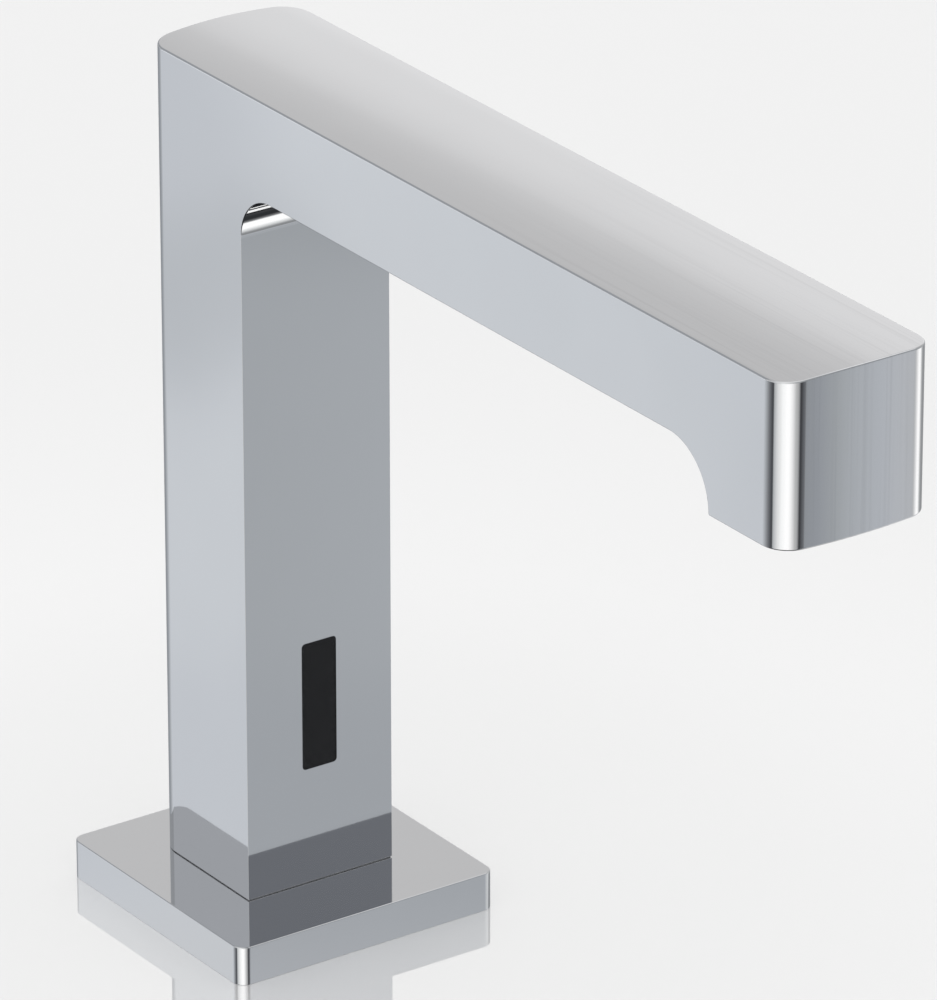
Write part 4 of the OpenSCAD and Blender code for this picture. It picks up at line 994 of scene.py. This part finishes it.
def make_nut():
    low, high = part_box("shank_nut")
    n = 144
    flange_z = high.z - NUT_FLANGE_T

    def hexagon(z):
        """Flats with the round chamfer of a turned nut at the low end."""
        cone = CHAMFER_R + (z - low.z) * CHAMFER_SLOPE
        row = []
        for i in range(n):
            a = 2 * math.pi * i / n
            off = (a + math.pi / 6) % (math.pi / 3) - math.pi / 6
            row.append((a, min(NUT_FLAT / math.cos(off), cone)))
        return polar(row, 0, z)

    rows = []
    for k in range(NUT_ROWS + 1):
        z = high.z + (low.z - high.z) * k / NUT_ROWS
        fade = min(1.0, min(high.z - z, z - low.z) / NUT_FADE)
        row = thread_row(NUT_CREST_R + NUT_THREAD, NUT_THREAD, SHANK_PITCH, z, n, 1.0, 0.5)
        floor = NUT_MOUTH_R - NUT_CLOSING * fade
        rows.append(polar([(a, max(r, floor)) for a, r in row], 0, z))
    rows += [hexagon(low.z + step * MM) for step in CHAMFER_STEPS]
    rows.append(hexagon(flange_z))
    for r, z in ((NUT_FLANGE_R - NUT_EDGE, flange_z), (NUT_FLANGE_R, flange_z + NUT_EDGE),
                 (NUT_FLANGE_R, high.z - NUT_EDGE), (NUT_FLANGE_R - NUT_EDGE, high.z)):
        rows.append(ring_row(r, n, 0, z))
    nut = ring_solid("nut", rows)
    smooth(nut, 25)
    finish_piece(nut, "brass_turned", "nut", "shank_nut")


AERATOR_R, AERATOR_INNER_R, LIP_R = 9.2 * MM, 7.7 * MM, 6.9 * MM
LIP_T, LIP_EDGE, RIM_EDGE = MM, 0.1 * MM, 0.35 * MM
AERATOR_THREAD, AERATOR_PITCH, AERATOR_CHAMFER = 0.5 * MM, MM, 0.3 * MM
RIM_H, THREAD_LOW = 2.2 * MM, 2.4 * MM
KEY_NOTCHES, NOTCH_HALF, NOTCH_H, NOTCH_IN = 12, 0.6 * MM, 0.8 * MM, 0.75 * MM


def make_aerator():
    """The aerator's housing: thread outside, key notches round its lower rim."""
    low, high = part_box("aerator_housing")
    n = 144
    profile = [
        (AERATOR_INNER_R, high.z), (AERATOR_INNER_R, low.z + LIP_T), (LIP_R, low.z + LIP_T),
        (LIP_R, low.z + LIP_EDGE), (LIP_R + LIP_EDGE, low.z), (AERATOR_R - RIM_EDGE, low.z),
        (AERATOR_R, low.z + RIM_EDGE), (AERATOR_R, low.z + RIM_H),
    ]
    rows = [ring_row(r, n, AERATOR_Y, z) for r, z in profile]
    rows += outside_thread(AERATOR_R, AERATOR_THREAD, AERATOR_PITCH, low.z + THREAD_LOW,
                           high.z, n, AERATOR_Y, AERATOR_CHAMFER)
    housing = ring_solid("aerator", rows)
    plan = block(LIP_R + NOTCH_IN, AERATOR_R + MM, -NOTCH_HALF, NOTCH_HALF)
    for k in range(KEY_NOTCHES):
        notch = prism("notch", plan, low.z - MM, low.z + NOTCH_H)
        notch.data.transform(Matrix.Rotation(2 * math.pi * k / KEY_NOTCHES, 4, "Z"))
        notch.data.transform(Matrix.Translation((0, AERATOR_Y, 0)))
        cut(housing, notch)
    smooth(housing, 30)
    finish_piece(housing, "chrome_small", "aerator", "aerator_housing")


# Materials of the pieces that keep their solid

PAINT = {
    "deck_gasket": "rubber_black", "column_gasket": "gasket_dark", "foot_block": "brass_turned",
    "foot_screws": "steel_plain", "rubber_washer": "rubber_black", "clamp_washer": "steel_plain",
    "sensor_window": "window_dark", "window_gasket": "gasket_dark", "sensor_housing": "case_black",
    "sensor_board": "board_green", "ir_emitter": "lens_violet", "ir_receiver": "lens_black",
    "light_barrier": "case_black", "sensor_bracket": "steel_sheet",
    "bracket_screws": "steel_plain", "inlet_filter": "steel_mesh",
    "cable_grommet": "rubber_seal", "riser_tube": "tube_white", "valve_body": "valve_grey",
    "valve_diaphragm": "rubber_seal", "diaphragm_plate": "insert_white",
    "valve_bonnet": "valve_grey", "bonnet_screws": "steel_plain",
    "armature_guide": "steel_plain", "plunger": "steel_dark", "plunger_spring": "steel_plain",
    "coil_bobbin": "bobbin_cream", "coil_winding": "copper_wire", "coil_yoke": "steel_sheet",
    "coil_retainer": "steel_dark", "coil_lead": "lead_sheath", "outlet_tube": "tube_white",
    "tube_o_rings": "rubber_seal", "outlet_elbow": "insert_white", "elbow_o_ring": "rubber_seal",
    "aerator_seal": "rubber_seal", "aerator_insert": "insert_white",
    "aerator_screen": "steel_mesh",
}


def paint_nodes():
    """Gives the solids that stay their materials."""
    for name, paint in PAINT.items():
        obj = NODES[name]
        obj.data.materials.clear()
        obj.data.materials.append(bpy.data.materials[paint])


make_camera()
make_world()
make_lamp()
make_floor()
make_materials()
make_body()
make_plate()
make_shank()
make_nut()
make_aerator()
paint_nodes()

scene = bpy.context.scene
scene.view_settings.view_transform = "Standard"
